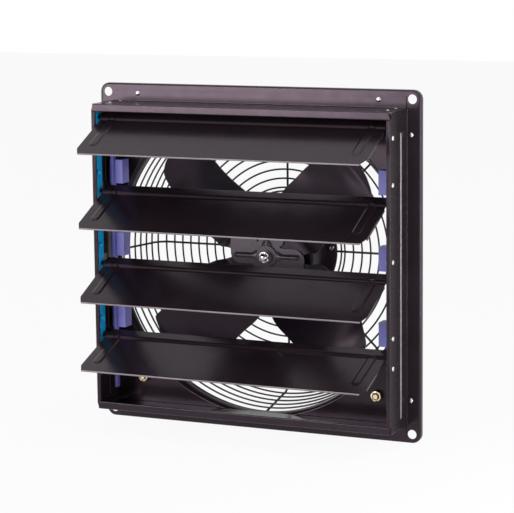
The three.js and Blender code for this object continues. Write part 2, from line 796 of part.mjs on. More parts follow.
// Motor pieces, from the front
const motorBackY = motorFrontY + motorLength;
const frontCapFrontY = motorFrontY - motorCapDepth;
const bossFrontY = frontCapFrontY - motorBossLength;
const flangeStartY = motorBackY + seatGap;
const flangeEndY = flangeStartY + motorFlangeThickness;
const rearCapEndY = flangeEndY + motorRearLength;
const shaftEndY = rearCapEndY - motorCapWall - seatGap;
const frontBearingY = frontCapFrontY + motorCapWall + seatGap;
const rearBearingY = shaftEndY - shaftTail - bearingWidth;

function motorShaft() {
  const threadFrontY = hubNutBackY - nutHeight + seatGap;
  return turned([
    [0, threadFrontY],
    [threadRadius, threadFrontY],
    [threadRadius, hubFlangeBackY + seatGap],
    [shaftRadius, hubFlangeBackY + seatGap],
    [shaftRadius, shaftEndY],
    [0, shaftEndY],
  ]);
}

function motorFrontCap() {
  return turned([
    [shaftBore, bossFrontY],
    [motorBossRadius, bossFrontY],
    [motorBossRadius + motorCapWall, frontCapFrontY],
    [motorRadius - motorCapWall, frontCapFrontY],
    [motorRadius, frontCapFrontY + motorCapWall],
    [motorRadius, motorFrontY - seatGap],
    [motorRadius - motorWall, motorFrontY - seatGap],
    [motorRadius - motorWall, frontCapFrontY + motorCapWall],
    [bearingRadius + seatGap + motorCapWall, frontCapFrontY + motorCapWall],
    [bearingRadius + seatGap + motorCapWall, frontBearingY + bearingWidth],
    [bearingRadius + seatGap, frontBearingY + bearingWidth],
    [bearingRadius + seatGap, frontCapFrontY + motorCapWall],
    [shaftBore, frontCapFrontY + motorCapWall],
  ]);
}

function motorRearCap() {
  const innerRadius = motorRearRadius - motorCapWall;
  const cap = turned([
    [motorFlangeRadius, flangeStartY],
    [motorFlangeRadius, flangeEndY],
    [motorRearRadius, flangeEndY],
    [motorRearRadius, rearCapEndY - motorCapWall],
    [motorRearRadius - motorCapWall, rearCapEndY],
    [0, rearCapEndY],
    [0, rearCapEndY - motorCapWall],
    [bearingRadius + seatGap, rearCapEndY - motorCapWall],
    [bearingRadius + seatGap, rearBearingY - motorCapWall],
    [bearingRadius + seatGap + motorCapWall, rearBearingY - motorCapWall],
    [bearingRadius + seatGap + motorCapWall, rearCapEndY - motorCapWall],
    [innerRadius, rearCapEndY - motorCapWall],
    [innerRadius, flangeStartY],
  ]);
  const hole = disc(
    mountBoltRadius + seatGap,
    flangeStartY - cutOverrun,
    flangeEndY + cutOverrun,
    smallHoleSides,
  );
  const glandHole = disc(glandRadius / 2 + seatGap, rearCapEndY - 2 * motorCapWall, rearCapEndY + cutOverrun,
    smallHoleSides);
  return cut(cap, [...aroundMotor(hole), placedY(glandHole, 0, -glandOffset)]);
}

const aroundMotor = (body) => Array.from({ length: mountBoltCount }, (_, i) =>
  body.translate([mountBoltCircle, 0, 0]).rotate([0, i * 360 / mountBoltCount - mountBoltTurn, 0]));

function motorBracket() {
  const plate = washerShape(bracketRadius, motorRearRadius + seatGap, bracketFrontY, bracketBackY);
  const hole = disc(mountBoltRadius + seatGap, bracketFrontY - cutOverrun, bracketBackY + cutOverrun,
    smallHoleSides);
  return cut(plate, aroundMotor(hole));
}
const bracketFrontY = flangeEndY + seatGap;
const bracketBackY = bracketFrontY + bracketSheet;

function mountBolt() {
  const headBack = flangeStartY - seatGap;
  return turned([
    [0, headBack - mountBoltHeadHeight],
    [mountBoltHeadRadius - seatGap, headBack - mountBoltHeadHeight],
    [mountBoltHeadRadius, headBack - mountBoltHeadHeight + seatGap],
    [mountBoltHeadRadius, headBack],
    [mountBoltRadius, headBack],
    [mountBoltRadius, bracketBackY + seatGap],
    [mountBoltHeadRadius, bracketBackY + seatGap],
    [mountBoltHeadRadius, bracketBackY + mountBoltHeadHeight],
    [0, bracketBackY + mountBoltHeadHeight],
  ], smallHoleSides);
}

const bearing = (frontY) => washerShape(bearingRadius, shaftBore, frontY, frontY + bearingWidth);
const middleY = motorFrontY + motorLength / 2;
const rotorCore = () =>
  washerShape(rotorRadius, shaftBore, middleY - rotorLength / 2, middleY + rotorLength / 2);

// Laminated stator ring with its winding slots
function statorCore() {
  const outer = motorRadius - motorWall - seatGap;
  const inner = rotorRadius + airGap;
  const ring = washerShape(outer, inner, middleY - statorLength / 2, middleY + statorLength / 2);
  const slotFrom = inner - cutOverrun;
  const slotTo = (inner + outer) / 2 + cutOverrun;
  const slot = box([slotFrom, motorFrontY, -slotWidth / 2], [slotTo, motorBackY, slotWidth / 2]);
  const slots = Array.from({ length: slotCount }, (_, i) =>
    slot.rotate([0, slotTurn + i * 360 / slotCount, 0]));
  return cut(ring, slots);
}

function cableGland() {
  const seatY = rearCapEndY + seatGap;
  return placedY(turned([
    [glandBore, rearCapEndY - motorCapWall],
    [glandRadius / 2, rearCapEndY - motorCapWall],
    [glandRadius / 2, seatY],
    [glandRadius, seatY],
    [glandRadius, seatY + glandLength / 2],
    [glandTipRadius, seatY + glandLength],
    [glandBore, seatY + glandLength],
  ], smallHoleSides), 0, -glandOffset);
}

// Wire guard: its section in [radius, y], from the middle to the plate
const guardFaceY = bracketBackY + seatGap;
function guardSection() {
  const points = [[guardInnerRadius, guardFaceY]];
  for (let i = 0; i <= shoulderSteps; i += 1) {
    const turn = i / shoulderSteps * Math.PI / 2;
    const radius = guardShoulderRadius - guardShoulder * (1 - Math.sin(turn));
    points.push([radius, guardFaceY - guardShoulder * (1 - Math.cos(turn))]);
  }
  points.push([guardFootRadius, guardFootY]);
  return points;
}

// The innermost ring, then places at an even pitch along the guard's section
function ringPlaces(section) {
  const places = [[guardInnerRadius + guardInnerRing, guardFaceY]];
  let next = guardFirstRing;
  for (let i = 0; i < section.length - 1; i += 1) {
    const [from, to] = [section[i], section[i + 1]];
    const length = Math.hypot(to[0] - from[0], to[1] - from[1]);
    for (; next <= length; next += ringPitch) {
      const share = next / length;
      places.push([from[0] + (to[0] - from[0]) * share, from[1] + (to[1] - from[1]) * share]);
    }
    next -= length;
  }
  return places;
}

// The rings' flat sides, not their corners, meet the spokes
function wireGuard() {
  const section = guardSection();
  const cornerStretch = 1 / Math.cos(Math.PI / ringSides);
  const rings = ringPlaces(section).map(([radius, y]) => {
    const outline = circle(radius * cornerStretch, y, ringWire / 2, wireSides);
    return turnedAboutY(turned(outline, ringSides), 180 / ringSides);
  });
  const offset = foldedOutline(section, spokeWire).slice(0, section.length);
  const spokeOutline = foldedOutline(offset, spokeWire);
  const spoke = alongZ(spokeOutline, -spokeWire / 2, spokeWire / 2);
  const spokes = Array.from({ length: spokeCount }, (_, i) => turnedAboutY(spoke, i * 360 / spokeCount));
  const feet = [[1, 1], [1, -1], [-1, 1], [-1, -1]].map(([sx, sz]) => guardFoot(sx, sz));
  return joined([...rings, ...spokes, ...feet]);
}

// A foot runs from the guard's wall to a pad on the plate, with a threaded stud through it
function guardFoot(sx, sz) {
  const backY = plateSheet + seatGap;
  const studFront = -seatGap - nutHeight - studOverhang;
  const stud = disc(threadRadius, studFront, backY + footThickness, smallHoleSides);
  const pad = disc(footPadRadius, backY, backY + footThickness);
  const along = cornerStudOffset * Math.SQRT2 - guardFootRadius;
  const strip = box(
    [-along, backY, -footWidth / 2],
    [0, backY + footThickness, footWidth / 2],
  );
  const post = box(
    [-along, backY, -spokeWire / 2],
    [-along + footWidth, guardFootY + ringWire, spokeWire / 2],
  );
  const turn = Math.atan2(sz, sx) * 180 / Math.PI;
  return joined([stud, pad, strip, post]).rotate([0, -turn, 0])
    .translate([sx * cornerStudOffset, 0, sz * cornerStudOffset]);
}

// Assembly
add("mounting_plate", mountingPlate(), glossBlack());
add("frame_top", topRail(), glossBlack());
add("frame_bottom", topRail().mirror([0, 0, 1]), glossBlack());
add("frame_right", rightRail(), glossBlack());
add("frame_left", mirroredX(rightRail()), glossBlack());
add("bearing_strip_right", rightStrip(), material(blue, 0.4, 0));
add("bearing_strip_left", mirroredX(rightStrip()), material(blue, 0.4, 0));
flangeRivets();
sideRivets();

pivotZ.forEach((z, i) => {
  const angle = i === shutterCount - 1 ? lastOpenAngle : openAngle;
  const mesh = add(`shutter_blade_${i + 1}`, shutter(angle), glossBlack());
  mesh.position.set(0, pivotY, z);
});
add("link_bar_right", rightLinkBar(), material(violet, 0.45, 0));
add("link_bar_left", mirroredX(rightLinkBar()), material(violet, 0.45, 0));

add("hub_spider", hubSpider(), glossBlack());
bladeTurns.forEach((turn, i) => add(`fan_blade_${i + 1}`, turnedAboutY(fanBlade(), turn), glossBlack()));
add("hub_collar", hubCollar(), castGrey());
add("hub_washer", washerShape(washerRadius, threadBore, washerFrontY, washerBackY), brightSteel());
add("hub_nut", hubNut(), brightSteel());
for (const [sx, sz, place] of [
  [1, 1, "top_right"], [-1, 1, "top_left"], [1, -1, "bottom_right"], [-1, -1, "bottom_left"],
]) {
  add(`corner_nut_${place}`, cornerNut(sx, sz), brightSteel());
}

add("motor_shaft", motorShaft(), brightSteel());
add("rotor_core", rotorCore(), castGrey());
add("motor_shell", washerShape(motorRadius, motorRadius - motorWall, motorFrontY, motorBackY), glossBlack());
add("motor_front_cap", motorFrontCap(), castGrey());
add("motor_rear_cap", motorRearCap(), castGrey());
add("stator_core", statorCore(), material(copper, 0.6, 0.4));
add("bearing_front", bearing(frontBearingY), brightSteel());
add("bearing_rear", bearing(rearBearingY), brightSteel());
add("motor_bracket", motorBracket(), glossBlack());
aroundMotor(mountBolt()).forEach((bolt, i) => add(`mount_bolt_${i + 1}`, bolt, brightSteel()));
add("cable_gland", cableGland(), material(paint, 0.6, 0));
add("wire_guard", wireGuard(), glossBlack());

export default fan;
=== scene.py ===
"""Looks of the shutter exhaust fan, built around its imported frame. Sizes are in millimetres."""

import math

import bmesh
import bpy
from mathutils import Matrix, Vector, geometry


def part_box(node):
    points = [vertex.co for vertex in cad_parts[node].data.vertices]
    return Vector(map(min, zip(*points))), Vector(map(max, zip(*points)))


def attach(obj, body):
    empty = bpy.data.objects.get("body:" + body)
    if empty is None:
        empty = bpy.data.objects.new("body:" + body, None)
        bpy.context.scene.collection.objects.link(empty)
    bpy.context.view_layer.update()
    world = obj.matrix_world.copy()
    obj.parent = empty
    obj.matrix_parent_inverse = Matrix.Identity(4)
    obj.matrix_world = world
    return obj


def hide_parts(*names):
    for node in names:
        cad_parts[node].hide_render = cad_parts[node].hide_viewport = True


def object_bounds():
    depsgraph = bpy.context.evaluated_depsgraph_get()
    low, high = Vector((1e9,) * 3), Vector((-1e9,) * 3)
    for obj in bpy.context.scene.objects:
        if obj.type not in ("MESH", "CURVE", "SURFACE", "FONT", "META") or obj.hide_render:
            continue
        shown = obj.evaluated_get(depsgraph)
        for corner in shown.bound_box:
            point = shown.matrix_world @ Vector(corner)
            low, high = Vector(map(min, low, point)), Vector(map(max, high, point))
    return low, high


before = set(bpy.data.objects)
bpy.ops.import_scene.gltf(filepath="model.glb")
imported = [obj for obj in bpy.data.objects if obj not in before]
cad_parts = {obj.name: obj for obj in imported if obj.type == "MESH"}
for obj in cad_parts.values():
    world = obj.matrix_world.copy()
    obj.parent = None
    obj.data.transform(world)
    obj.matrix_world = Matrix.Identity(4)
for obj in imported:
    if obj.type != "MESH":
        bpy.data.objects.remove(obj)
cad_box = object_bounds()

MM = 0.001
TURN = 2 * math.pi
QUARTER = math.pi / 2
TINY = 1e-6
SIDES = ((1, "right"), (-1, "left"))
LEVELS = ((1, "top"), (-1, "bottom"))

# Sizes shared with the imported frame
GAP = 0.3
PLATE_HALF, PLATE_SHEET, PLATE_CORNER, RIM_DEPTH = 225, 1.2, 12, 8
MOUTH_RADIUS, THROAT_RADIUS, FLARE_DEPTH = 206, 203.5, 11
HOLE_RADIUS, HOLE_PLACE = 6, 213.4
STUD_PLACE = 166.5
RIVET_SPAN, RIVET_PLACE, RIVET_BORE = 169, 212, 2.2
BOX_HALF, BOX_TOP, BOX_DEPTH, RAIL_SHEET = 207, 202, 61, 1
STRIP_OUTER, STRIP_INNER = 205.7, 203.2
SIDE_RIVET_Y = -52
SIDE_RIVET_Z = (169.5, 111.5, 15.5, -80.5, -118.5)
PIVOT_Y, PIVOT_Z = -46, (183.5, 87.5, -8.5, -104.5)
OPEN_ANGLES = (25.7, 25.7, 25.7, 20.5)
BLADE_HALF, BLADE_SHEET, BLADE_REACH, BLADE_TAIL, BLADE_RAISE = 198, 0.9, 89, 9, 3
CREASE_START, CREASE_END, BLADE_LIP = 5.5, 8.5, 1.7
CRANK_LENGTH, CRANK_DROP = 18, 20
FAN_RADIUS, FAN_CENTRE_Y, FAN_SHEET, SPIDER_SHEET = 186, 32, 1.5, 2
THREAD_RADIUS, THREAD_BORE, NUT_FLATS, NUT_HEIGHT = 4, 4.3, 13, 6.5

# Camera at the photograph's viewing angle
CAMERA_AZIMUTH, CAMERA_ELEVATION, CAMERA_ROLL = 24.267, 8.967, -0.603
CAMERA_DISTANCE, CAMERA_TARGET = 2776.24, (-0.475, 0.498, 4.03)
FOCAL_PIXELS, FRAME_PIXELS, SENSOR = 2140.7, 514, 36
CLIP_END_METRES = 50


def add_camera():
    az, el, roll = (math.radians(a) for a in (CAMERA_AZIMUTH, CAMERA_ELEVATION, CAMERA_ROLL))
    forward = Vector((-math.sin(az) * math.cos(el), math.cos(az) * math.cos(el), -math.sin(el)))
    level = forward.cross(Vector((0, 0, 1))).normalized()
    upright = level.cross(forward)
    right = level * math.cos(roll) + upright * math.sin(roll)
    up = upright * math.cos(roll) - level * math.sin(roll)
    place = (Vector(CAMERA_TARGET) - forward * CAMERA_DISTANCE) * MM
    data = bpy.data.cameras.new("camera")
    data.sensor_fit = "HORIZONTAL"
    data.sensor_width = SENSOR
    data.lens = FOCAL_PIXELS / FRAME_PIXELS * SENSOR
    data.clip_end = CLIP_END_METRES
    camera = bpy.data.objects.new("camera", data)
    bpy.context.scene.collection.objects.link(camera)
    camera.matrix_world = Matrix((
        (right.x, up.x, -forward.x, place.x),
        (right.y, up.y, -forward.y, place.y),
        (right.z, up.z, -forward.z, place.z),
        (0, 0, 0, 1),
    ))
    bpy.context.scene.camera = camera


# Materials
NOISE_LOW, NOISE_HIGH, SMEAR_SCALE = 0.3, 0.7, 2.7


def new_material(name):
    made = bpy.data.materials.new(name)
    made.use_nodes = True
    nodes = made.node_tree.nodes
    shader = nodes["Principled BSDF"]
    return made, nodes, made.node_tree.links, shader


def noise(nodes, links, source, scale, detail, roughness):
    node = nodes.new("ShaderNodeTexNoise")
    node.inputs["Scale"].default_value = scale
    node.inputs["Detail"].default_value = detail
    node.inputs["Roughness"].default_value = roughness
    links.new(source, node.inputs["Vector"])
    return node.outputs["Fac"]


def spread(nodes, links, source, low, high):
    """Turns a noise's middle values into the range from low to high."""
    node = nodes.new("ShaderNodeMapRange")
    node.inputs["From Min"].default_value = NOISE_LOW
    node.inputs["From Max"].default_value = NOISE_HIGH
    node.inputs["To Min"].default_value = low
    node.inputs["To Max"].default_value = high
    links.new(source, node.inputs["Value"])
    return node.outputs["Result"]


def finish(name, dark, light, rough, metallic=0, tint_scale=25, stretch=(1, 1, 1),
           grain=(900, 0.05, 0.0002), wave=None, specular=0.5, tint=(1, 1, 1)):
    """Two near colours, a range of roughness, a fine grain and, if asked for, slow waves of the sheet.
    A grain or a wave is its scale, its strength and its depth in metres."""
    made, nodes, links, shader = new_material(name)
    coords = nodes.new("ShaderNodeTexCoord")
    mapping = nodes.new("ShaderNodeMapping")
    mapping.inputs["Scale"].default_value = stretch
    links.new(coords.outputs["Object"], mapping.inputs["Vector"])
    place = mapping.outputs["Vector"]
    patches = noise(nodes, links, place, tint_scale, detail=5, roughness=0.6)
    colour = nodes.new("ShaderNodeMix")
    colour.data_type = "RGBA"
    links.new(spread(nodes, links, patches, 0, 1), colour.inputs["Factor"])
    colour.inputs["A"].default_value = (*dark, 1)
    colour.inputs["B"].default_value = (*light, 1)
    links.new(colour.outputs["Result"], shader.inputs["Base Color"])
    smears = noise(nodes, links, place, tint_scale * SMEAR_SCALE, detail=6, roughness=0.65)
    links.new(spread(nodes, links, smears, *rough), shader.inputs["Roughness"])
    shader.inputs["Metallic"].default_value = metallic
    shader.inputs["Specular IOR Level"].default_value = specular
    shader.inputs["Specular Tint"].default_value = (*tint, 1)
    normal = None
    for scale, strength, depth in [grain] + ([wave] if wave else []):
        bump = nodes.new("ShaderNodeBump")
        bump.inputs["Strength"].default_value = strength
        bump.inputs["Distance"].default_value = depth
        relief = noise(nodes, links, place, scale, detail=2, roughness=0.5)
        links.new(relief, bump.inputs["Height"])
        if normal is not None:
            links.new(normal, bump.inputs["Normal"])
        normal = bump.outputs["Normal"]
    links.new(normal, shader.inputs["Normal"])
    return made


SHEET_WAVE, BLADE_WAVE, FAN_WAVE = (9, 0.35, 0.0008), (7, 0.4, 0.0009), (7, 0.3, 0.0006)
PLASTIC_GRAIN = (700, 0.12, 0.0003)
MAUVE, ROSE, PALE_MAUVE = (1, 0.76, 0.93), (1, 0.75, 0.92), (1, 0.88, 0.97)
PAINT = finish(
    "black_paint", (0.02, 0.014, 0.018), (0.028, 0.02, 0.026), (0.14, 0.22),
    wave=SHEET_WAVE, specular=0.28, tint=MAUVE)
# A darker copy of the black paint with almost no reflection: painted shade on the rails' outer walls, in
# place of the dark surroundings they would mirror.
SHADED_WALL_PAINT = finish(
    "painted_shade_wall", (0.016, 0.012, 0.015), (0.023, 0.018, 0.022), (0.2, 0.3),
    wave=SHEET_WAVE, specular=0.03, tint=MAUVE)
BLADE_PAINT = finish(
    "blade_paint", (0.0125, 0.0078, 0.0108), (0.018, 0.0115, 0.0155), (0.17, 0.24),
    tint_scale=14, wave=BLADE_WAVE, specular=0.28, tint=ROSE)
FAN_PAINT = finish(
    "fan_paint", (0.006, 0.004, 0.007), (0.01, 0.007, 0.011), (0.28, 0.36),
    tint_scale=14, wave=FAN_WAVE, specular=0.3, tint=MAUVE)
# Light paint for painted highlights: it colours the shutters' front lips and the side rails' bead crests as
# bright lines where lamps would catch them.
PAINTED_HIGHLIGHT = finish(
    "painted_highlight", (0.17, 0.145, 0.16), (0.28, 0.24, 0.265), (0.25, 0.35),
    tint_scale=120, stretch=(0.1, 1, 1))
SPIDER_PAINT = finish(
    "spider_paint", (0.03, 0.025, 0.032), (0.045, 0.038, 0.048), (0.26, 0.34),
    tint_scale=40, tint=PALE_MAUVE)
WIRE_PAINT = finish(
    "wire_paint", (0.006, 0.004, 0.006), (0.01, 0.007, 0.01), (0.35, 0.5),
    tint_scale=60)
MOTOR_PAINT = finish(
    "motor_paint", (0.012, 0.009, 0.014), (0.024, 0.019, 0.027), (0.36, 0.5),
    tint_scale=50, grain=(500, 0.25, 0.0004), tint=MAUVE)
BLUE = finish(
    "blue_plastic", (0.0, 0.42, 0.86), (0.005, 0.5, 0.94), (0.36, 0.46),
    tint_scale=35, grain=PLASTIC_GRAIN)
VIOLET = finish(
    "violet_plastic", (0.14, 0.13, 0.46), (0.19, 0.175, 0.55), (0.38, 0.5),
    tint_scale=40, grain=PLASTIC_GRAIN)
BLACK_PLASTIC = finish(
    "black_plastic", (0.012, 0.012, 0.013), (0.02, 0.02, 0.021), (0.45, 0.6),
    tint_scale=90, grain=(1200, 0.2, 0.0003))
STEEL = finish(
    "bright_steel", (0.66, 0.6, 0.58), (0.8, 0.76, 0.74), (0.12, 0.2),
    metallic=1, tint_scale=160, grain=(1500, 0.04, 0.0001))
ZINC = finish(
    "yellow_zinc", (0.55, 0.42, 0.26), (0.78, 0.68, 0.5), (0.2, 0.36),
    metallic=1, tint_scale=180, grain=(2000, 0.12, 0.0002))
CAST = finish(
    "cast_aluminium", (0.2, 0.19, 0.21), (0.3, 0.29, 0.31), (0.45, 0.62),
    metallic=0.9, tint_scale=90, grain=(850, 0.5, 0.0004))
CORE = finish(
    "core_steel", (0.1, 0.075, 0.06), (0.2, 0.16, 0.13), (0.5, 0.7),
    metallic=0.8, tint_scale=30, stretch=(1, 60, 1), grain=(300, 0.4, 0.0003))


# Mesh code
class Shape:
    """Points in millimetres and faces, gathered before they become one piece."""

    def __init__(self):
        self.points, self.faces, self.marks = [], [], []

    def add(self, part, mark=0, move=None):
        points, faces = part
        start = len(self.points)
        self.points += [move @ Vector(p) for p in points] if move else [Vector(p) for p in points]
        self.faces += [[start + i for i in face] for face in faces]
        self.marks += [mark] * len(faces)
        return self


def turns(count, span=TURN):
    """Angles at even steps over a span, without its end."""
    return [i * span / count for i in range(count)]


def arc(steps, span=QUARTER):
    """Angles at even steps over a span, with its end."""
    return [i / steps * span for i in range(steps + 1)]


def smooth(value):
    value = max(0, min(1, value))
    return value * value * (3 - 2 * value)


def loft(rings, loop=False):
    """Quads between rings of as many points each."""
    count = len(rings[0])
    points = [p for ring in rings for p in ring]
    faces = []
    for r in range(len(rings) if loop else len(rings) - 1):
        low, high = r * count, (r + 1) % len(rings) * count
        for i in range(count):
            j = (i + 1) % count
            faces.append([low + i, low + j, high + j, high + i])
    return points, faces


def closed_sheet(rings):
    """A sheet over rings that run out along one face and back along the other, closed at both ends."""
    points, faces = loft(rings)
    count = len(rings[0]) // 2
    for k in range(count - 1):
        for start in (0, len(points) - 2 * count):
            back = start + 2 * count - 1 - k
            faces.append([start + k, start + k + 1, back - 1, back])
    return points, faces


def capped(rings):
    """A bar over closed rings, with a flat end at the first and the last one."""
    points, faces = loft(rings)
    count = len(rings[0])
    last = len(points) - count
    return points, faces + [list(range(count))[::-1], list(range(last, last + count))]


def round_ring(radius, y, sides):
    """A ring about the Y axis."""
    return [(radius * math.cos(t), y, radius * math.sin(t)) for t in turns(sides)]


def lathe(profile, sides=64, closed=True):
    """A solid about the Y axis, from (radius, y) points."""
    return loft([round_ring(r, y, sides) for r, y in profile], loop=closed)


def prism(outline, low, high, place):
    """A bar from low to high; place makes a point of (across, up, along)."""
    return capped([[place(a, b, t) for a, b in outline] for t in (low, high)])


def along_x(a, b, t):
    return (t, a, b)


def along_y(a, b, t):
    return (a, t, b)


def along_z(a, b, t):
    return (a, b, t)


def circle(radius, sides, across=0, up=0):
    return [(across + radius * math.cos(t), up + radius * math.sin(t)) for t in turns(sides)]


def capsule(start, end, radius, steps=10):
    """The outline round two points."""
    lean = math.atan2(end[1] - start[1], end[0] - start[0]) + QUARTER
    outline = []
    for centre, half in ((start, 0), (end, math.pi)):
        for turn in arc(steps, math.pi):
            angle = lean + half + turn
            outline.append((centre[0] + radius * math.cos(angle), centre[1] + radius * math.sin(angle)))
    return outline


def rounded_square(half, radius, steps=10):
    outline = []
    for sx, sz, start in ((1, 1, 0), (-1, 1, 1), (-1, -1, 2), (1, -1, 3)):
        for turn in arc(steps):
            angle = start * QUARTER + turn
            outline.append((sx * (half - radius) + radius * math.cos(angle),
                            sz * (half - radius) + radius * math.sin(angle)))
    return outline


def walls(loop, front, back):
    """The walls of a loop that runs through a sheet."""
    return loft([[(a, y, b) for a, b in loop] for y in (front, back)])


def bend_points(corner, start, end, steps):
    """A rounded corner from start to end."""
    return [start * (1 - t) ** 2 + corner * 2 * t * (1 - t) + end * t * t
            for t in (k / steps for k in range(steps + 1))]


def fillet(path, radii, steps=5):
    """The path with its inner corners rounded."""
    rounded = [path[0]]
    for i in range(1, len(path) - 1):
        corner = Vector(path[i])
        back = (Vector(path[i - 1]) - corner).normalized()
        ahead = (Vector(path[i + 1]) - corner).normalized()
        reach = radii[i - 1] * math.tan((math.pi - back.angle(ahead)) / 2)
        start, end = corner + back * reach, corner + ahead * reach
        rounded += [tuple(p) for p in bend_points(corner, start, end, steps)]
    return rounded + [path[-1]]


def holed_face(outer, holes, y):
    """A flat face at y with holes in it."""
    loops = [outer] + holes
    flat = [p for loop in loops for p in loop]
    triangles = geometry.tessellate_polygon([[Vector((a, b, 0)) for a, b in loop] for loop in loops])
    return [(a, y, b) for a, b in flat], [list(t) for t in triangles]


def tube(path, radius, sides=8, closed=False):
    """A round wire along a path of points."""
    path = [Vector(p) for p in path]
    count = len(path)
    rings = []
    side = None
    for i, point in enumerate(path):
        before = path[i - 1] if closed or i else point
        after = path[(i + 1) % count] if closed or i < count - 1 else point
        forward = (after - before).normalized()
        if side is None:
            side = forward.orthogonal().normalized()
        side = (side - forward * side.dot(forward)).normalized()
        up = forward.cross(side)
        rings.append([point + (side * math.cos(t) + up * math.sin(t)) * radius for t in turns(sides)])
    return loft(rings, loop=True) if closed else capped(rings)


def move(x=0, y=0, z=0):
    return Matrix.Translation((x, y, z))


def about(axis, degrees):
    return Matrix.Rotation(math.radians(degrees), 4, axis)


STILL, MIRROR_X, MIRROR_Z = Matrix.Identity(4), Matrix.Diagonal((-1, 1, 1, 1)), Matrix.Diagonal((1, 1, -1, 1))
FLAT_DEGREES = 0.6


def span_of(box):
    """The half width, the front and the back of a box of the frame, in millimetres."""
    low, high = box
    return high.x / MM, low.y / MM, high.y / MM


def made_piece(name, mesh, body, slot, materials, replaced, bevel=0.0, segments=2, angle=28):
    """Turns a mesh into a finished piece that rides on a body."""
    for face in mesh.polygons:
        face.use_smooth = True
    piece = bpy.data.objects.new(name, mesh)
    bpy.context.scene.collection.objects.link(piece)
    mesh.materials.clear()
    for made in materials:
        mesh.materials.append(made)
    if bevel:
        rounding = piece.modifiers.new("rounding", "BEVEL")
        rounding.width = bevel * MM
        rounding.segments = segments
        rounding.limit_method = "ANGLE"
        rounding.angle_limit = math.radians(angle)
        rounding.miter_outer = "MITER_ARC"
    else:
        mesh.set_sharp_from_angle(angle=math.radians(angle))
    shading = piece.modifiers.new("shading", "WEIGHTED_NORMAL")
    shading.keep_sharp = True
    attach(piece, body)
    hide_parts(*replaced)


def build(name, shape, body, slot, materials, replaced, **look):
    """Makes a piece from a shape; a face's mark is the place of its material in the list."""
    mesh = bpy.data.meshes.new(name)
    mesh.from_pydata([p * MM for p in shape.points], [], shape.faces)
    mesh.polygons.foreach_set("material_index", shape.marks)
    work = bmesh.new()
    work.from_mesh(mesh)
    bmesh.ops.remove_doubles(work, verts=work.verts, dist=TINY)
    bmesh.ops.recalc_face_normals(work, faces=work.faces)
    work.to_mesh(mesh)
    work.free()
    marks = [face.material_index for face in mesh.polygons]
    made_piece(name, mesh, body, slot, materials, replaced, **look)
    mesh.polygons.foreach_set("material_index", marks)


def softened(name, node, body, slot, made, bevel, extra=(), **look):
    """Makes a piece from the frame's own solid, with its flat faces joined and its edges rounded."""
    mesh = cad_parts[node].data.copy()
    mesh.name = name
    work = bmesh.new()
    work.from_mesh(mesh)
    bmesh.ops.remove_doubles(work, verts=work.verts, dist=TINY)
    bmesh.ops.dissolve_limit(work, angle_limit=math.radians(FLAT_DEGREES), verts=work.verts, edges=work.edges)
    for points, faces in extra:
        corners = [work.verts.new(Vector(p) * MM) for p in points]
        for face in faces:
            work.faces.new([corners[i] for i in face])
    for face in work.faces:
        face.material_index = 0
    bmesh.ops.recalc_face_normals(work, faces=work.faces)
    work.to_mesh(mesh)
    work.free()
    made_piece(name, mesh, body, slot, [made], [node], bevel=bevel, **look)


# Mounting plate: sheet with a rolled rim, a drawn mouth and its holes
RIM_BEND, MOUTH_SIDES = 2.6, 160


def rim_profile():
    """The rolled rim's section as (inset, y), out round its fold and back inside it."""
    inner, edge, bend = RIM_BEND - PLATE_SHEET, 0.3, arc(6)
    outside = [(RIM_BEND * (1 - math.sin(t)), RIM_BEND * (1 - math.cos(t))) for t in bend]
    end = [(0, RIM_DEPTH - edge), (edge, RIM_DEPTH), (PLATE_SHEET - edge, RIM_DEPTH),
           (PLATE_SHEET, RIM_DEPTH - edge)]
    inside = [(RIM_BEND - inner * math.sin(t), RIM_BEND - inner * math.cos(t)) for t in bend[::-1]]
    return outside + end + inside


def mouth_profile(outer):
    """The flare's section as (radius, y), from the plate into the throat and back."""
    lip = 0.6
    front_throat, back_throat = THROAT_RADIUS - lip, THROAT_RADIUS + lip
    front, back = [], []
    for turn in arc(9):
        inward, deeper = 1 - math.sin(turn), 1 - math.cos(turn)
        front.append((front_throat + (outer - front_throat) * inward, FLARE_DEPTH * deeper))
        back.append((back_throat + (outer - back_throat) * inward,
                     PLATE_SHEET + (FLARE_DEPTH - PLATE_SHEET) * deeper))
    return front + back[::-1]


def plate_holes():
    holes = []
    for sx in (-1, 1):
        for sz in (-1, 1):
            spots = [
                (HOLE_PLACE, HOLE_PLACE, HOLE_RADIUS, 40),
                (STUD_PLACE, STUD_PLACE, THREAD_RADIUS + GAP, 24),
                (RIVET_SPAN, RIVET_PLACE, RIVET_BORE, 16),
                (RIVET_PLACE, RIVET_SPAN, RIVET_BORE, 16),
            ]
            holes += [circle(radius, sides, sx * x, sz * z) for x, z, radius, sides in spots]
    return holes


def mounting_plate():
    shape = Shape()
    shape.add(loft([[(a, y, b) for a, b in rounded_square(PLATE_HALF - inset, PLATE_CORNER - inset)]
                    for inset, y in rim_profile()]))
    mouth = MOUTH_RADIUS + 2 * PLATE_SHEET
    shape.add(lathe(mouth_profile(mouth), MOUTH_SIDES, closed=False))
    edge = rounded_square(PLATE_HALF - RIM_BEND, PLATE_CORNER - RIM_BEND)
    holes = plate_holes()
    for y in (0, PLATE_SHEET):
        shape.add(holed_face(edge, [circle(mouth, MOUTH_SIDES)] + holes, y))
    for hole in holes:
        shape.add(walls(hole, 0, PLATE_SHEET))
    build("plate", shape, "housing", "painted_steel", [PAINT], ["mounting_plate"], angle=32)


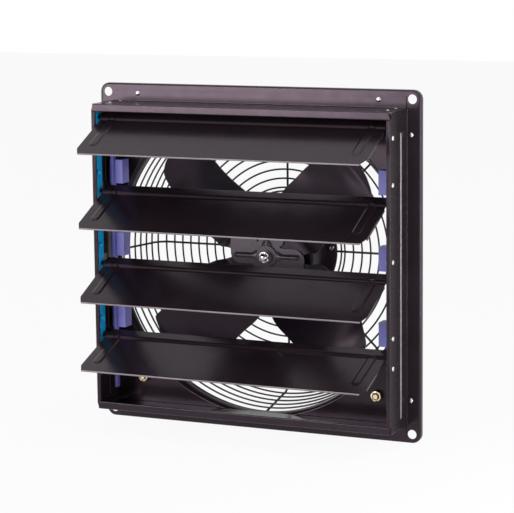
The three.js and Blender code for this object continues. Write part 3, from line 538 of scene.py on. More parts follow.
# Rails of the shutter box: folded sheets with round bends
LIP_RETURN, LONG_LIP, SIDE_LIP, RAIL_FLANGE, RAIL_BENDS = 3, 10, 5.5, 14.5, (0.9, 0.9, 1.4)
LIP_SLANT, ROW_BEHIND_FRONT, SLANT_EDGE = 3, 4, 0.5
FLANGE_CUT_Y, FLANGE_EDGE_Y = -2.2, -1.2
END_STEP, MIDDLE_STATIONS = 0.02, [-100, 0, 100]
WALL_FRONT, WALL_BACK, WALL_SLACK = 1 - BOX_DEPTH, -1.9, 0.1
BEAD_Y, BEAD_HALF, BEAD_HEIGHT, BEAD_TOP, BEAD_BOTTOM = -25, 1.8, 1.5, 176, -190
BEAD_SLOPE, RUN_OUT, BEAD_CREST = 0.75, 4, 0.3
GROOVE_X, GROOVE_HALF, GROOVE_DEPTH = 204.25, 0.7, 0.4
WELD_PLACES = ((193.3, -33), (193.3, -4), (-193.3, -33), (-193.3, -4))
WELD_PROFILE = ((0, -0.8), (1.2, -0.75), (1.8, -0.45), (2, 0.2), (0, 0.2))


def sheet_line(corners, marks, steps=5):
    """A folded sheet's middle line: bends at its corners and marked points on the runs between them."""
    line = [Vector(corners[0])]
    for i in range(1, len(corners) - 1):
        corner = Vector(corners[i])
        start = corner + (Vector(corners[i - 1]) - corner).normalized() * RAIL_BENDS[i - 1]
        end = corner + (Vector(corners[i + 1]) - corner).normalized() * RAIL_BENDS[i - 1]
        line += bend_points(corner, start, end, steps)
        line += [Vector(m) for m in marks.get(i, [])]
    return line + [Vector(corners[-1])]


def sheet_faces(lines):
    """A folded sheet over pairs of a middle line and a function that places its points."""
    rings = []
    for line, place in lines:
        outer, inner = [], []
        for i, point in enumerate(line):
            run = Vector((0, 0))
            for k in (i - 1, i):
                if 0 <= k < len(line) - 1 and (line[k + 1] - line[k]).length > TINY:
                    run += (line[k + 1] - line[k]).normalized()
            side = Vector((run.y, -run.x)).normalized() * RAIL_SHEET / 2
            outer.append(place(point + side))
            inner.append(place(point - side))
        rings.append(outer + inner[::-1])
    return closed_sheet(rings)


def mark_wall(shape, axis, low, high, mark):
    """Marks the faces of a rail's outer wall that lie between two distances along an axis."""
    for k, face in enumerate(shape.faces):
        points = [shape.points[i] for i in face]
        if all(low < abs(p[axis]) < high and WALL_FRONT < p.y < WALL_BACK for p in points):
            shape.marks[k] = mark


def long_rail_point(station, point):
    """A point of a long rail; the ends of its lip are cut at a slant."""
    y, z = point
    reach = station
    if y < LIP_RETURN + SLANT_EDGE - BOX_DEPTH:
        share = max(0, min(1, (z - BOX_TOP + LONG_LIP) / LONG_LIP))
        reach = math.copysign(min(abs(station), BOX_HALF - LIP_SLANT * share), station)
    return (reach, y, z)


def long_rails():
    half = RAIL_SHEET / 2
    front, flange = half - BOX_DEPTH, -GAP - half
    lip, wall = BOX_TOP - LONG_LIP + half, BOX_TOP - half
    corners = [(LIP_RETURN - BOX_DEPTH, lip), (front, lip), (front, wall), (flange, wall),
               (flange, BOX_TOP + RAIL_FLANGE)]
    line = sheet_line(corners, {2: [(ROW_BEHIND_FRONT - BOX_DEPTH, wall)]})
    cut_line = [p if p.x < FLANGE_CUT_Y else Vector((FLANGE_CUT_Y, wall)) for p in line]
    cut_line[-1] = Vector((FLANGE_EDGE_Y, wall))
    flange_end = BOX_HALF - RAIL_SHEET - GAP
    inner_stations = [-flange_end, *MIDDLE_STATIONS, flange_end]
    end_stations = [flange_end + END_STEP, BOX_HALF]
    lines = []
    for station in [-x for x in end_stations[::-1]] + inner_stations + end_stations:
        bent = cut_line if abs(station) > flange_end else line
        lines.append((bent, lambda point, x=station: long_rail_point(x, point)))
    for name, flip in (("top", STILL), ("bottom", MIRROR_Z)):
        shape = Shape().add(sheet_faces(lines), move=flip)
        for x, y in WELD_PLACES:
            placed = flip @ move(x, y, BOX_TOP) @ about("X", -90)
            shape.add(lathe(WELD_PROFILE, 20), mark=1, move=placed)
        # The top wall takes the shaded copy of the paint, painted shade.
        mark_wall(shape, 2, BOX_TOP - WALL_SLACK, BOX_TOP + WALL_SLACK, 2)
        build(f"rail_{name}", shape, "housing", "painted_steel", [PAINT, STEEL, SHADED_WALL_PAINT],
              [f"frame_{name}"], angle=40)


def side_rail_line(line, station, wall, front, cut_y, lip_top):
    """A side rail's middle line at a height, with its bead and groove and without its lip at the ends."""
    share = smooth((BEAD_TOP - station) / RUN_OUT) * smooth((station - BEAD_BOTTOM) / RUN_OUT)
    bent = []
    for p in line:
        q = p.copy()
        from_bead, from_groove = abs(p.y - BEAD_Y), abs(p.x - GROOVE_X)
        if p.x > wall - TINY and from_bead < BEAD_HALF:
            q.x += BEAD_HEIGHT * share * smooth((BEAD_HALF - from_bead) / (BEAD_SLOPE * BEAD_HALF))
        if p.y < front + TINY and from_groove < GROOVE_HALF:
            q.y += GROOVE_DEPTH * smooth((GROOVE_HALF - from_groove) / GROOVE_HALF)
        if abs(station) > lip_top and p.y < cut_y:
            q = Vector((wall, cut_y))
        bent.append(q)
    if abs(station) > lip_top:
        bent[0] = Vector((wall, cut_y - END_STEP / 2))
    return bent


def side_rails():
    half = RAIL_SHEET / 2
    front, flange = half - BOX_DEPTH, -GAP - half
    lip, wall = BOX_HALF - SIDE_LIP + half, BOX_HALF - half
    corners = [(lip, LIP_RETURN - BOX_DEPTH), (lip, front), (wall, front), (wall, flange),
               (BOX_HALF + RAIL_FLANGE, flange)]
    cut_y = LIP_RETURN - BOX_DEPTH + 2 * GAP
    groove = [(GROOVE_X + GROOVE_HALF * k / 4, front) for k in range(-4, 5)]
    bead = [(wall, BEAD_Y + BEAD_HALF * k / 6) for k in range(-6, 7)]
    line = sheet_line(corners, {1: groove, 2: [(wall, cut_y)] + bead})
    top = BOX_TOP - RAIL_SHEET - GAP
    lip_top = BOX_TOP - LONG_LIP - GAP
    run_out = range(RUN_OUT + 1)
    stations = [-top, -lip_top - END_STEP, -lip_top]
    stations += [BEAD_BOTTOM + k for k in run_out] + MIDDLE_STATIONS
    stations += [BEAD_TOP - RUN_OUT + k for k in run_out] + [lip_top, lip_top + END_STEP, top]
    lines = [(side_rail_line(line, station, wall, front, cut_y, lip_top),
              lambda point, z=station: (point.x, point.y, z)) for station in stations]
    for name, flip in (("right", STILL), ("left", MIRROR_X)):
        shape = Shape().add(sheet_faces(lines), move=flip)
        # The outer wall takes the shaded copy of the paint, painted shade.
        mark_wall(shape, 0, BOX_HALF - WALL_SLACK, BOX_HALF + WALL_SLACK, 1)
        # The bead's crest takes the light paint, a painted highlight line along the wall.
        mark_wall(shape, 0, BOX_HALF + BEAD_CREST, BOX_HALF + BEAD_HEIGHT + WALL_SLACK, 2)
        build(f"rail_{name}", shape, "housing", "painted_steel", [PAINT, SHADED_WALL_PAINT, PAINTED_HIGHLIGHT],
              [f"frame_{name}"], angle=40)


# Blind rivets with a domed head and the hollow where the pin broke off
FLANGE_SHANK, WALL_SHANK = 2.4, 2.2
TAIL_PROFILE = ((0, 2.2), (2.4, 2.2), (2.4, 3.6), (2.1, 3.9), (0, 3.9))


def rivet_profile(depth):
    head, height, head_turn, shank = 3.2, 1.4, math.radians(78), 1.9
    hole, bottom, rim, rim_share = 0.9, -0.5, 0.95, 0.97
    dome = [(head * math.cos(t), -height * math.sin(t)) for t in arc(6, head_turn)]
    hollow = [(0, bottom), (hole, bottom), (rim, -height * rim_share)]
    return hollow + dome[::-1] + [(shank, 0), (shank, depth), (0, depth)]


def rivets():
    front = -2 * GAP - RAIL_SHEET
    for sx, across in SIDES:
        for sz, up in LEVELS:
            for name, x, z in ((f"{up}_{across}", sx * RIVET_SPAN, sz * RIVET_PLACE),
                               (f"{across}_{up}", sx * RIVET_PLACE, sz * RIVET_SPAN)):
                placed = move(x, front, z)
                shape = Shape().add(lathe(rivet_profile(FLANGE_SHANK), 24), move=placed)
                shape.add(lathe(TAIL_PROFILE, 20), move=placed)
                build(f"rivet_{name}", shape, "housing", "bright_steel", [STEEL], [f"flange_rivet_{name}"])
        for i, z in enumerate(SIDE_RIVET_Z):
            placed = move(sx * (BOX_HALF + GAP), SIDE_RIVET_Y, z) @ about("Z", sx * 90)
            shape = Shape().add(lathe(rivet_profile(WALL_SHANK), 24), move=placed)
            name = f"{across}_{i + 1}"
            build(f"wall_rivet_{name}", shape, "housing", "bright_steel", [STEEL], [f"side_rivet_{name}"])


# Blue bearing strips with a moulded boss over each rivet's tail
BOSS_PROFILE = ((0, 0), (4.2, 0), (4, 3.2), (3.4, 4.1), (1.6, 4.1), (1.3, 3.6), (0, 3.6))


def bearing_strips():
    for sx, side in SIDES:
        bosses = []
        for z in SIDE_RIVET_Z:
            points, faces = lathe(BOSS_PROFILE, sides=28)
            placed = move(sx * STRIP_INNER, SIDE_RIVET_Y, z) @ about("Z", sx * 90)
            bosses.append(([placed @ Vector(p) for p in points], faces))
        softened(f"strip_{side}", f"bearing_strip_{side}", "housing", "blue_plastic", BLUE, bevel=0.5,
                 extra=bosses)


# Shutters: pressed sheets with a raised rear strip, ribs, lips and end pins
RIB_X, RIB_RADIUS, RIB_FROM, RIB_TO, RIB_HEIGHT, RIB_SLOPE = 180, 6, 10, 65, 1.0, 1.9
COLUMN_START, COLUMN_STEP, RIB_COLUMNS = 172, 0.8, 19
FLAT_COLUMNS, END_COLUMNS, ROW_STEP = [60, 120, 172], [188.5, 191, 193.5, 196, 198], 1.6
CREASE_RADII, LIP_LEAN = (4, 4, 0.7), 0.3
CORNER_FROM, CORNER_RUN, NARROWING, CORNER_X = 78, 11.9, 6, 186
UNDERSIDE_LIMIT = -0.2


def rib_height(x, s):
    across = abs(abs(x) - RIB_X)
    along = max(RIB_FROM - s, s - RIB_TO, 0)
    return RIB_HEIGHT * smooth((RIB_RADIUS - math.hypot(across, along)) / RIB_SLOPE)


def blade_columns():
    rib = [COLUMN_START + i * COLUMN_STEP for i in range(1, RIB_COLUMNS + 1)]
    outer = FLAT_COLUMNS + rib + END_COLUMNS
    return [-x for x in outer[::-1]] + [0] + outer


def blade_rows():
    """The shutter's section as (distance in front of the pivot, height), in even short steps."""
    section = fillet([(-BLADE_TAIL, BLADE_RAISE), (CREASE_START, BLADE_RAISE), (CREASE_END, 0),
                      (BLADE_REACH, 0), (BLADE_REACH + LIP_LEAN, -BLADE_LIP)], CREASE_RADII)
    rows = []
    for (s0, h0), (s1, h1) in zip(section, section[1:]):
        pieces = max(1, round((s1 - s0) / ROW_STEP))
        rows += [(s0 + (s1 - s0) * k / pieces, h0 + (h1 - h0) * k / pieces) for k in range(pieces)]
    return rows + [section[-1]]


def blade_middle():
    """The sheet's middle surface, with its ribs and its front corners drawn in."""
    middle = []
    for s, h in blade_rows():
        narrow = NARROWING * max(0, s - CORNER_FROM) / CORNER_RUN
        line = []
        for x in blade_columns():
            outer = max(0, abs(x) - CORNER_X) / (BLADE_HALF - CORNER_X)
            line.append(Vector((x - math.copysign(narrow * outer, x), -s, h + rib_height(x, s))))
        middle.append(line)
    return middle


def blade_sheet():
    middle = blade_middle()
    rings = []
    for r, line in enumerate(middle):
        upper, lower = [], []
        for c, point in enumerate(line):
            ahead = middle[min(r + 1, len(middle) - 1)][c] - middle[max(r - 1, 0)][c]
            beside = line[min(c + 1, len(line) - 1)] - line[max(c - 1, 0)]
            normal = ahead.cross(beside).normalized()
            normal = normal if normal.z > UNDERSIDE_LIMIT else -normal
            upper.append(point + normal * BLADE_SHEET / 2)
            lower.append(point - normal * BLADE_SHEET / 2)
        rings.append(upper + lower[::-1])
    return closed_sheet(rings)


def blade_ends(crank):
    """The side lip, the crank's ear and two pins, each with its outline and its reach along the X axis."""
    front, back, low, high = -78, -12, -3.3, -0.2
    lip = [(front, low), (back, low), (back, high), (front, high)]
    pivot_radius, crank_radius, crank_end, ear_radius, ear_sheet = 2.5, 2.2, 190.4, 5, 1.5
    root = BLADE_HALF - 0.8
    return [
        (lip, BLADE_HALF - BLADE_SHEET, BLADE_HALF),
        (capsule((0, 0), crank, ear_radius), BLADE_HALF - ear_sheet, BLADE_HALF),
        (circle(pivot_radius, 24), root, STRIP_OUTER - GAP),
        (circle(crank_radius, 24, *crank), crank_end, root),
    ]


def shutter(index):
    angle, number = OPEN_ANGLES[index], index + 1
    placed = move(0, PIVOT_Y, PIVOT_Z[index]) @ about("X", angle)
    points, faces = blade_sheet()
    shape = Shape().add((points, faces), move=placed)
    # The front lip's faces take the light paint, a painted highlight along the shutter's front edge.
    for k, face in enumerate(faces):
        if all(points[i].y < -BLADE_REACH and points[i].z < BLADE_SHEET for i in face):
            shape.marks[k] = 1
    drop = math.radians(CRANK_DROP + angle)
    crank = (CRANK_LENGTH * math.cos(drop), -CRANK_LENGTH * math.sin(drop))
    for side in (STILL, MIRROR_X):
        for outline, low, high in blade_ends(crank):
            shape.add(prism(outline, low, high, along_x), move=placed @ side)
    build(f"shutter_{number}_sheet", shape, f"shutter_{number}", "painted_aluminium",
          [BLADE_PAINT, PAINTED_HIGHLIGHT], [f"shutter_blade_{number}"], bevel=0.25, angle=32)


def link_bars():
    for side in ("left", "right"):
        softened(f"link_{side}_bar", f"link_bar_{side}", f"link_{side}", "violet_plastic", VIOLET,
                 bevel=0.7, segments=3)


# Fan blades, from the same stations as the frame's solids, as shares of the fan's radius
ALONG = (
    0.083, 0.14, 0.198, 0.255, 0.3, 0.344, 0.43, 0.538, 0.645, 0.753, 0.833, 0.887, 0.92, 0.946, 0.968, 0.984,
    0.997)
TRAIL = (
    -0.068, -0.126, -0.173, -0.203, -0.235, -0.25, -0.25, -0.24, -0.237, -0.242, -0.255, -0.26, -0.257, -0.22,
    -0.172, -0.129, -0.065)
LEAD = (
    0.054, 0.113, 0.155, 0.19, 0.236, 0.248, 0.256, 0.25, 0.247, 0.228, 0.199, 0.177, 0.161, 0.142, 0.108,
    0.075, 0.027)
FORWARD = (
    0, 0, 0, 0, 0.006, 0.016, 0.036, 0.049, 0.057, 0.067, 0.078, 0.086, 0.089, 0.091, 0.093, 0.094, 0.094)
PITCH = (0, 0, 0, 0, 0.16, 0.28, 0.34, 0.36, 0.35, 0.29, 0.21, 0.16, 0.13, 0.11, 0.1, 0.1, 0.1)
CAMBER = (0, 0, 0, 0, 0.01, 0.03, 0.05, 0.06, 0.06, 0.06, 0.05, 0.05, 0.04, 0.04, 0.03, 0.03, 0.02)
FAN_STATIONS, FAN_COLUMNS, FIRST_BLADE = 64, 16, 45


def eased(table, place):
    """A smooth curve through a table of values."""
    i = min(int(place), len(table) - 2)
    t = place - i
    p0, p1, p2, p3 = (table[max(0, min(len(table) - 1, k))] for k in (i - 1, i, i + 1, i + 2))
    low, high = (p2 - p0) / 2, (p3 - p1) / 2
    return ((2 * t ** 3 - 3 * t ** 2 + 1) * p1 + (t ** 3 - 2 * t ** 2 + t) * low
            + (-2 * t ** 3 + 3 * t ** 2) * p2 + (t ** 3 - t ** 2) * high)


def fan_blade(number):
    root = FAN_CENTRE_Y + SPIDER_SHEET / 2 + GAP + FAN_SHEET / 2
    rings = []
    for r in range(FAN_STATIONS + 1):
        place = r / FAN_STATIONS * (len(ALONG) - 1)
        along, trail, lead, forward = (
            eased(table, place) * FAN_RADIUS for table in (ALONG, TRAIL, LEAD, FORWARD))
        front, back = [], []
        for c in range(FAN_COLUMNS + 1):
            share = c / FAN_COLUMNS
            across = trail + (lead - trail) * share
            bow = eased(CAMBER, place) * (lead - trail) * 4 * share * (1 - share)
            setback = eased(PITCH, place) * across + bow - forward
            front.append((along, root + setback - FAN_SHEET / 2, across))
            back.append((along, root + setback + FAN_SHEET / 2, across))
        rings.append(front + back[::-1])
    turned = about("Y", -(FIRST_BLADE + (number - 1) * 90))
    shape = Shape().add(closed_sheet(rings), move=turned)
    build(f"fan_sheet_{number}", shape, "fan_rotor", "painted_aluminium", [FAN_PAINT],
          [f"fan_blade_{number}"], bevel=0.4, angle=40)


# Spider: four pressed arms with ribs that spread into the middle
def spider_arm():
    """One arm's outline in the fan's plane."""
    reach, lead, trail, shoulder, corner = 52, 11, 25, 14, 2
    root, notch = [(13.5, -18.5), (16, -22.5)], [(20.4, 11), (18, 13)]
    round_end = [(reach - shoulder + shoulder * math.sin(t), lead - shoulder + shoulder * math.cos(t))
                 for t in arc(10)]
    square_end = [(trail, -trail), (reach - corner, -trail), (reach, corner - trail)]
    return root + square_end + round_end[::-1] + notch


def spider_ridge(front):
    """The pressed rib of one arm, widest at the hub."""
    start, length, half, flare, height, sink, floor_depth = 13, 35, 4.6, 6.5, 2.4, 0.2, 0.6
    flare_share, rise_share, rise_start, fall_share = 0.28, 0.06, 0.35, 0.16
    steps, columns = 24, 12
    rings = []
    for k in range(steps + 1):
        t = k / steps
        along, wide = start + length * t, half + flare * (1 - smooth(t / flare_share))
        rise = height * smooth(t / rise_share + rise_start) * smooth((1 - t) / fall_share) + sink
        ring = []
        for m in range(columns + 1):
            u = 2 * m / columns - 1
            ring.append((along, front + sink - rise * (1 + math.cos(math.pi * u)) / 2, u * wide))
        rings.append(ring + [(along, front + floor_depth, wide), (along, front + floor_depth, -wide)])
    return capped(rings)


def spider():
    front, back = FAN_CENTRE_Y - SPIDER_SHEET / 2, FAN_CENTRE_Y + SPIDER_SHEET / 2
    outline = []
    for quarter in range(4):
        spin = Matrix.Rotation(math.radians(90 * quarter), 2)
        outline += [tuple(spin @ Vector(p)) for p in spider_arm()]
    bore = circle(10.3, 48)
    shape = Shape()
    for y in (front, back):
        shape.add(holed_face(outline, [bore], y))
    for loop in (outline, bore):
        shape.add(walls(loop, front, back))
    for quarter in range(4):
        shape.add(spider_ridge(front), move=about("Y", 90 * quarter))
    build("spider_arms", shape, "fan_rotor", "painted_steel", [SPIDER_PAINT], ["hub_spider"], angle=35)


# Nuts, washer and hub collar
def nut(flats, front, back, bore, dome=0, sides=96):
    """A hex nut with turned chamfers; a dome closes its front."""
    slope, rim, dome_rim, blind, lead = 0.55, 0.25, 0.6, 0.5, 0.6
    flat = flats / 2
    sector = math.pi / 3
    corner = [flat / math.cos((t + sector / 2) % sector - sector / 2) for t in turns(sides)]

    def ring(radius, y):
        return round_ring(radius, y, sides)

    def edge(y, sign):
        return [(r * math.cos(t), y + sign * (r - flat) * slope, r * math.sin(t))
                for t, r in zip(turns(sides), corner)]

    rings = [ring(flat - rim, back), edge(back, -1), edge(front, 1), ring(flat - rim, front)]
    if dome:
        rings += [ring((flat - dome_rim) * math.cos(t), front - dome * math.sin(t)) for t in arc(10)]
        rings += [ring(0, front - dome), ring(0, back - blind), ring(bore, back - blind), ring(bore, back)]
    else:
        rings += [ring(bore + lead, front), ring(bore, front + lead), ring(bore, back - lead),
                  ring(bore + lead, back)]
    return loft(rings, loop=True)


def collar(front, back):
    outer, neck, bore, edge, chamfer, neck_chamfer = 14.5, 10, 6.3, 0.4, 0.3, 0.5
    flange = front + 2
    profile = [(THREAD_BORE, front), (outer - edge, front), (outer, front + edge), (outer, flange - chamfer),
               (outer - chamfer, flange), (neck, flange), (neck, back - neck_chamfer),
               (neck - neck_chamfer, back), (bore, back), (bore, flange), (THREAD_BORE, flange)]
    build("collar", Shape().add(lathe(profile)), "fan_rotor", "cast_aluminium", [SPIDER_PAINT],
          ["hub_collar"])


def washer(front, back):
    inner, outer, edge = THREAD_BORE, 8, 0.2
    profile = [(inner, front + edge), (inner + edge, front), (outer - edge, front), (outer, front + edge),
               (outer, back - edge), (outer - edge, back), (inner + edge, back), (inner, back - edge)]
    build("washer", Shape().add(lathe(profile)), "fan_rotor", "bright_steel", [CAST], ["hub_washer"])


def acorn_nut(front, back, dome=5):
    shape = Shape().add(nut(NUT_FLATS, front + dome, back, THREAD_BORE, dome=dome))
    build("acorn_nut", shape, "fan_rotor", "bright_steel", [STEEL], ["hub_nut"], angle=25)


def hub():
    collar(*span_of(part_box("hub_collar"))[1:])
    washer(*span_of(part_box("hub_washer"))[1:])
    acorn_nut(*span_of(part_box("hub_nut"))[1:])


def corner_nuts():
    for sx, across in SIDES:
        for sz, up in LEVELS:
            placed = move(sx * STUD_PLACE, 0, sz * STUD_PLACE) @ about("Y", 12 * sx * sz)
            shape = Shape().add(nut(NUT_FLATS, -GAP - NUT_HEIGHT, -GAP, THREAD_BORE), move=placed)
            build(f"nut_{up}_{across}", shape, "housing", "yellow_zinc", [ZINC],
                  [f"corner_nut_{up}_{across}"], angle=25)


# Motor
MOTOR_SIDES, MOTOR_EDGE, MOTOR_WALL, FLANGE_REACH = 96, 0.4, 3, 21
SHAFT_BORE, BEARING_SEAT, BEARING_WALL, BEARING_DEPTH = 6.3, 13.3, 16.3, 16.3
FRONT_RIB = ((19, -0.9), (22, -1.2), (46, -0.9), (50, 0.6), (50, 1), (19, 1))
BOLT_HEAD = ((0, 1.4), (1.5, 1.4), (1.6, 0.1), (2.4, 0), (3.05, 0.4), (3.3, 1.1), (3.3, 3), (2, 3))
GLAND_GRIP = ((7.2, 4.8), (7.95, 4.8), (7.95, 8.2), (7.2, 8.6))


def round_ribs(shape, outline, half, count, offset=0, placed=STILL, left_out=None):
    """Adds ribs of one outline at even steps round the Y axis."""
    for k in range(count):
        if k != left_out:
            turned = placed @ about("Y", (k + offset) * 360 / count)
            shape.add(prism(outline, -half, half, along_z), move=turned)


def motor_body(radius, front, back):
    wall, edge, seam = radius - MOTOR_WALL, radius - MOTOR_EDGE, back - 0.5
    profile = [(wall, front), (edge, front), (radius, front + MOTOR_EDGE), (radius, seam),
               (radius, back - MOTOR_EDGE), (edge, back), (wall, back)]
    build("motor_body", Shape().add(lathe(profile, MOTOR_SIDES)), "housing", "painted_steel", [MOTOR_PAINT],
          ["motor_shell"])


def motor_front(radius, boss, end, rim):
    top, foot, height = 17, 20, 3
    face, inner, wall = boss + height, boss + height + MOTOR_WALL, radius - MOTOR_WALL
    cap = fillet([(SHAFT_BORE, boss), (top, boss), (foot, face), (wall, face), (radius, inner),
                  (radius, rim)], (1, 2, 1.2, 1))
    inside = [(wall, rim), (wall, inner), (BEARING_WALL, inner), (BEARING_WALL, end), (BEARING_SEAT, end),
              (BEARING_SEAT, inner), (SHAFT_BORE, inner)]
    shape = Shape().add(lathe(cap + inside, MOTOR_SIDES))
    round_ribs(shape, [(r, face + y) for r, y in FRONT_RIB], half=1.3, count=8, offset=0.5)
    build("motor_front", shape, "housing", "cast_aluminium", [MOTOR_PAINT], ["motor_front_cap"], angle=35)


def motor_back(flange, front, back):
    radius, step, inner = flange - FLANGE_REACH, front + 2, back - MOTOR_WALL
    wall, seat_end = radius - MOTOR_WALL, inner - BEARING_DEPTH
    cap = fillet([(flange, front), (flange, step), (radius, step), (radius, inner), (wall, back), (0, back)],
                 (0.5, 1.5, 1.5, 1.5))
    inside = [(0, inner), (BEARING_SEAT, inner), (BEARING_SEAT, seat_end), (BEARING_WALL, seat_end),
              (BEARING_WALL, inner), (wall, inner), (wall, front)]
    shape = Shape().add(lathe(cap + inside, MOTOR_SIDES))
    start, end, proud, sunk = 19, radius - 5, back + 1.3, back - 0.8
    fin = [(start, sunk), (start, proud), (end, proud), (wall, sunk)]
    round_ribs(shape, fin, half=1.1, count=12, left_out=9)
    start, end, proud, sunk, slant = front + 4.6, back - 5, radius + 1.6, radius - 1, 2
    rib = [(sunk, start), (proud, start), (proud, end - slant), (radius, end), (sunk, end)]
    round_ribs(shape, rib, half=1, count=12, offset=0.5)
    build("motor_back", shape, "housing", "cast_aluminium", [MOTOR_PAINT], ["motor_rear_cap"], angle=35)


def motor_bracket(inner, outer, front, back):
    edge = outer - MOTOR_EDGE
    ring = [(inner, front), (edge, front), (outer, front + MOTOR_EDGE), (outer, back - MOTOR_EDGE),
            (edge, back), (inner, back)]
    build("bracket_ring", Shape().add(lathe(ring, MOTOR_SIDES)), "housing", "painted_steel", [PAINT],
          ["motor_bracket"])


def bracket_bolt(number, low, high):
    middle = (low + high) / 2 / MM
    front, back = low.y / MM, high.y / MM
    placed = move(middle.x, 0, middle.z)
    radius, end = 2, back - 3
    profile = [(r, front + y) for r, y in BOLT_HEAD] + [(radius, end), (0, end)]
    shape = Shape().add(lathe(profile, 32), move=placed)
    shape.add(nut(5.6, end, back - 0.6, bore=1.9, sides=48), move=placed)
    build(f"bracket_bolt_{number}", shape, "housing", "bright_steel", [STEEL], [f"mount_bolt_{number}"],
          angle=30)


def motor():
    radius, shell_front, shell_back = span_of(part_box("motor_shell"))
    motor_body(radius, shell_front, shell_back)
    boss, end = span_of(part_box("motor_front_cap"))[1:]
    motor_front(radius, boss, end, shell_front - GAP)
    flange, front, back = span_of(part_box("motor_rear_cap"))
    motor_back(flange, front, back)
    motor_bracket(flange - FLANGE_REACH + GAP, *span_of(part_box("motor_bracket")))
    for k in range(4):
        low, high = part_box(f"mount_bolt_{k + 1}")
        bracket_bolt(k + 1, low, high)


def gland():
    """A sleeve, a hexagon and a domed nut with grips."""
    low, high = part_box("cable_gland")
    middle = (low + high) / 2 / MM
    start, end = low.y / MM, high.y / MM
    bore, sleeve, outer = 3.5, 3.7, 7.6
    seat = end - 12
    placed = move(middle.x, 0, middle.z)
    sleeve_end, cap, shoulder = seat + 0.5, seat + 4.1, seat + 8.5
    shape = Shape().add(lathe([(bore, start), (sleeve, start), (sleeve, sleeve_end), (bore, sleeve_end)], 32),
                        move=placed)
    shape.add(nut(13.6, seat, seat + 4, bore=sleeve), move=placed)
    dome = [(bore, cap), (outer, cap), (outer, shoulder)]
    dome += [(bore + (outer - bore) * math.cos(t), shoulder + (end - shoulder) * math.sin(t))
             for t in arc(8)[1:]]
    shape.add(lathe(dome, 48), move=placed)
    round_ribs(shape, [(r, seat + y) for r, y in GLAND_GRIP], half=0.6, count=12, placed=placed)
    build("gland", shape, "housing", "black_plastic", [BLACK_PLASTIC], ["cable_gland"], angle=35)


# Wire guard: rings welded to bent spokes, with feet that carry threaded studs
def guard_section(bends):
    """The guard's section as (radius, y), from its middle over the shoulder to the foot."""
    start, face, outer, shoulder, foot = 68.5, 99.2, 193, 18, (208.5, 6)
    bent = [(outer - shoulder * (1 - math.sin(t)), face - shoulder * (1 - math.cos(t))) for t in arc(bends)]
    return [(start, face)] + bent + [foot]


def ring_places():
    """The rings' places at even steps along the section, after a first one near its start."""
    first, ahead, pitch = 9.3, 14.3, 12.2
    section = guard_section(4)
    places = [(section[0][0] + first, section[0][1])]
    for (r0, y0), (r1, y1) in zip(section, section[1:]):
        length = math.hypot(r1 - r0, y1 - y0)
        while ahead <= length:
            places.append((r0 + (r1 - r0) * ahead / length, y0 + (y1 - y0) * ahead / length))
            ahead += pitch
        ahead -= length
    return places


def spoke_path(outward=2.3):
    """The section moved outward, so that a spoke lies on the rings."""
    section = guard_section(14)
    path = []
    for i, (r, y) in enumerate(section):
        before, after = section[max(i - 1, 0)], section[min(i + 1, len(section) - 1)]
        run = Vector((after[0] - before[0], after[1] - before[1])).normalized()
        path.append((r - run.y * outward, y + run.x * outward, 0))
    return path


def stud_profile(front=-8.3, back=2.5, pitch=1.25):
    tip, lead, lead_depth, root = THREAD_RADIUS - 0.9, THREAD_RADIUS - 0.3, 0.6, THREAD_RADIUS - 0.45
    core = THREAD_RADIUS - 0.4
    profile = [(0, front), (tip, front), (lead, front + lead_depth)]
    y = front + 0.9
    while y < back - pitch:
        profile += [(root, y), (THREAD_RADIUS, y + pitch / 2)]
        y += pitch
    return profile + [(core, y), (core, back), (0, back)]


def guard_foot(shape, placed, start):
    """A strap with an eye, a post that holds it to the wires and a threaded stud."""
    front, back, half, neck, eye_radius, eye_turn, steps = 1.5, 3.5, 5, 6, 9, 146, 24
    eye = [(eye_radius * math.cos(t), eye_radius * math.sin(t))
           for t in (math.radians(2 * eye_turn * i / steps - eye_turn) for i in range(steps + 1))]
    strap = [(start, -half), (-neck, -half)] + eye + [(-neck, half), (start, half)]
    shape.add(prism(strap, front, back, along_y), move=placed)
    foot, top, low, high, half = start + 9, start + 3, back - 0.3, 11, 1.5
    post = [(start, low), (foot, low), (top, high), (start, high)]
    shape.add(prism(post, -half, half, along_z), move=placed)
    shape.add(lathe(stud_profile(), 28), mark=1, move=placed)


def wire_guard():
    ring_wire, spoke_wire, strap_start = 1.2, 1.5, 206.7
    shape = Shape()
    for radius, y in ring_places():
        shape.add(tube(round_ring(radius, y, 120), ring_wire, closed=True))
    for k in range(8):
        shape.add(tube(spoke_path(), spoke_wire, 10), move=about("Y", 45 * k))
    diagonal = STUD_PLACE * math.sqrt(2)
    for k in range(4):
        guard_foot(shape, about("Y", 45 + 90 * k) @ move(diagonal, 0, 0), strap_start - diagonal)
    build("guard_wires", shape, "housing", "painted_steel", [WIRE_PAINT, ZINC], ["wire_guard"], angle=40)


def inner_parts():
    """Gives the frame's own solids inside the motor their metals."""
    for node, made in (("motor_shaft", STEEL), ("bearing_front", STEEL), ("bearing_rear", STEEL),
                       ("rotor_core", CORE), ("stator_core", CORE)):
        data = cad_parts[node].data
        data.materials.clear()
        data.materials.append(made)


# Stage: a floor, a white world and lamps, each with a place and a target in metres, two sizes and its watts
FLOOR_COLOUR, FLOOR_ROUGHNESS, FLOOR_SHARE, FLOOR_HALF = (0.9, 0.9, 0.9), 0.9, 0.93, 7
WHITE, WORLD_STRENGTH = (1, 1, 1, 1), 0.28
LAMPS = (
    ("front_softbox", (-1.3, -2.6, 0.45), (0, 0, 0), 1.1, 1.3, 42),
    ("top_softbox", (0.2, -0.5, 2.2), (0, 0, 0), 2.0, 1.4, 12),
    ("right_strip", (0.92, -0.34, 0.12), (0.2, -0.03, 0.12), 0.09, 0.7, 6),
)


def calculation(nodes, links, operation, first):
    """A node's result and its second input, which the caller fills."""
    node = nodes.new("ShaderNodeMath")
    node.operation = operation
    links.new(first, node.inputs[0])
    return node.outputs["Value"], node.inputs[1]


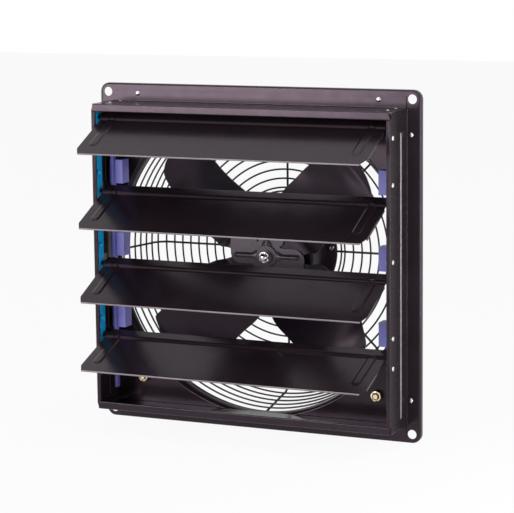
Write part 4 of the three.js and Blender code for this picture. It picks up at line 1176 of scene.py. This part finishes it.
def seen_or_mirrored(nodes, links, path):
    """1 for rays that come from the camera or off a shiny face, 0 for others."""
    value, other = calculation(nodes, links, "MAXIMUM", path.outputs["Is Camera Ray"])
    links.new(path.outputs["Is Glossy Ray"], other)
    return value


def mixed(nodes, links, share, first, second):
    mix = nodes.new("ShaderNodeMixShader")
    links.new(share, mix.inputs["Fac"])
    links.new(first, mix.inputs[1])
    links.new(second, mix.inputs[2])
    return mix.outputs["Shader"]


def floor_paint():
    """A pale paint that looks almost white to the camera and still takes some shade."""
    made, nodes, links, shader = new_material("floor_paint")
    shader.inputs["Base Color"].default_value = (*FLOOR_COLOUR, 1)
    shader.inputs["Roughness"].default_value = FLOOR_ROUGHNESS
    shader.inputs["Specular IOR Level"].default_value = 0
    glow = nodes.new("ShaderNodeEmission")
    seen = seen_or_mirrored(nodes, links, nodes.new("ShaderNodeLightPath"))
    share, factor = calculation(nodes, links, "MULTIPLY", seen)
    factor.default_value = FLOOR_SHARE
    surface = mixed(nodes, links, share, shader.outputs["BSDF"], glow.outputs["Emission"])
    links.new(surface, nodes["Material Output"].inputs["Surface"])
    return made


def floor():
    mesh = bpy.data.meshes.new("floor")
    corners = ((-1, -1), (1, -1), (1, 1), (-1, 1))
    mesh.from_pydata([(x * FLOOR_HALF, y * FLOOR_HALF, 0) for x, y in corners], [], [(0, 1, 2, 3)])
    mesh.materials.append(floor_paint())
    plane = bpy.data.objects.new("floor", mesh)
    bpy.context.scene.collection.objects.link(plane)
    plane.matrix_world = Matrix.Translation((0, 0, cad_box[0].z))


def soft_lamp(name, place, target, width, height, power):
    data = bpy.data.lights.new(name, "AREA")
    data.shape = "RECTANGLE"
    data.size, data.size_y = width, height
    data.energy = power
    lamp = bpy.data.objects.new(name, data)
    bpy.context.scene.collection.objects.link(lamp)
    direction = (Vector(target) - Vector(place)).normalized()
    lamp.matrix_world = Matrix.Translation(place) @ direction.to_track_quat("-Z", "Y").to_matrix().to_4x4()


def white_world():
    """White where it is seen or mirrored, and dimmer where it only lights."""
    world = bpy.data.worlds.new("studio")
    bpy.context.scene.world = world
    world.use_nodes = True
    nodes, links = world.node_tree.nodes, world.node_tree.links
    nodes.clear()
    light, white = nodes.new("ShaderNodeBackground"), nodes.new("ShaderNodeBackground")
    light.inputs["Color"].default_value = white.inputs["Color"].default_value = WHITE
    light.inputs["Strength"].default_value = WORLD_STRENGTH
    path = nodes.new("ShaderNodeLightPath")
    seen, other = calculation(nodes, links, "MAXIMUM", seen_or_mirrored(nodes, links, path))
    links.new(path.outputs["Is Transmission Ray"], other)
    output = nodes.new("ShaderNodeOutputWorld")
    surface = mixed(nodes, links, seen, light.outputs["Background"], white.outputs["Background"])
    links.new(surface, output.inputs["Surface"])


def stage():
    floor()
    for lamp in LAMPS:
        soft_lamp(*lamp)
    white_world()
    bpy.context.scene.view_settings.view_transform = "Standard"


mounting_plate()
long_rails()
side_rails()
rivets()
bearing_strips()
for shutter_index in range(4):
    shutter(shutter_index)
link_bars()
for blade_number in range(1, 5):
    fan_blade(blade_number)
spider()
hub()
corner_nuts()
motor()
gland()
wire_guard()
inner_parts()
stage()
add_camera()
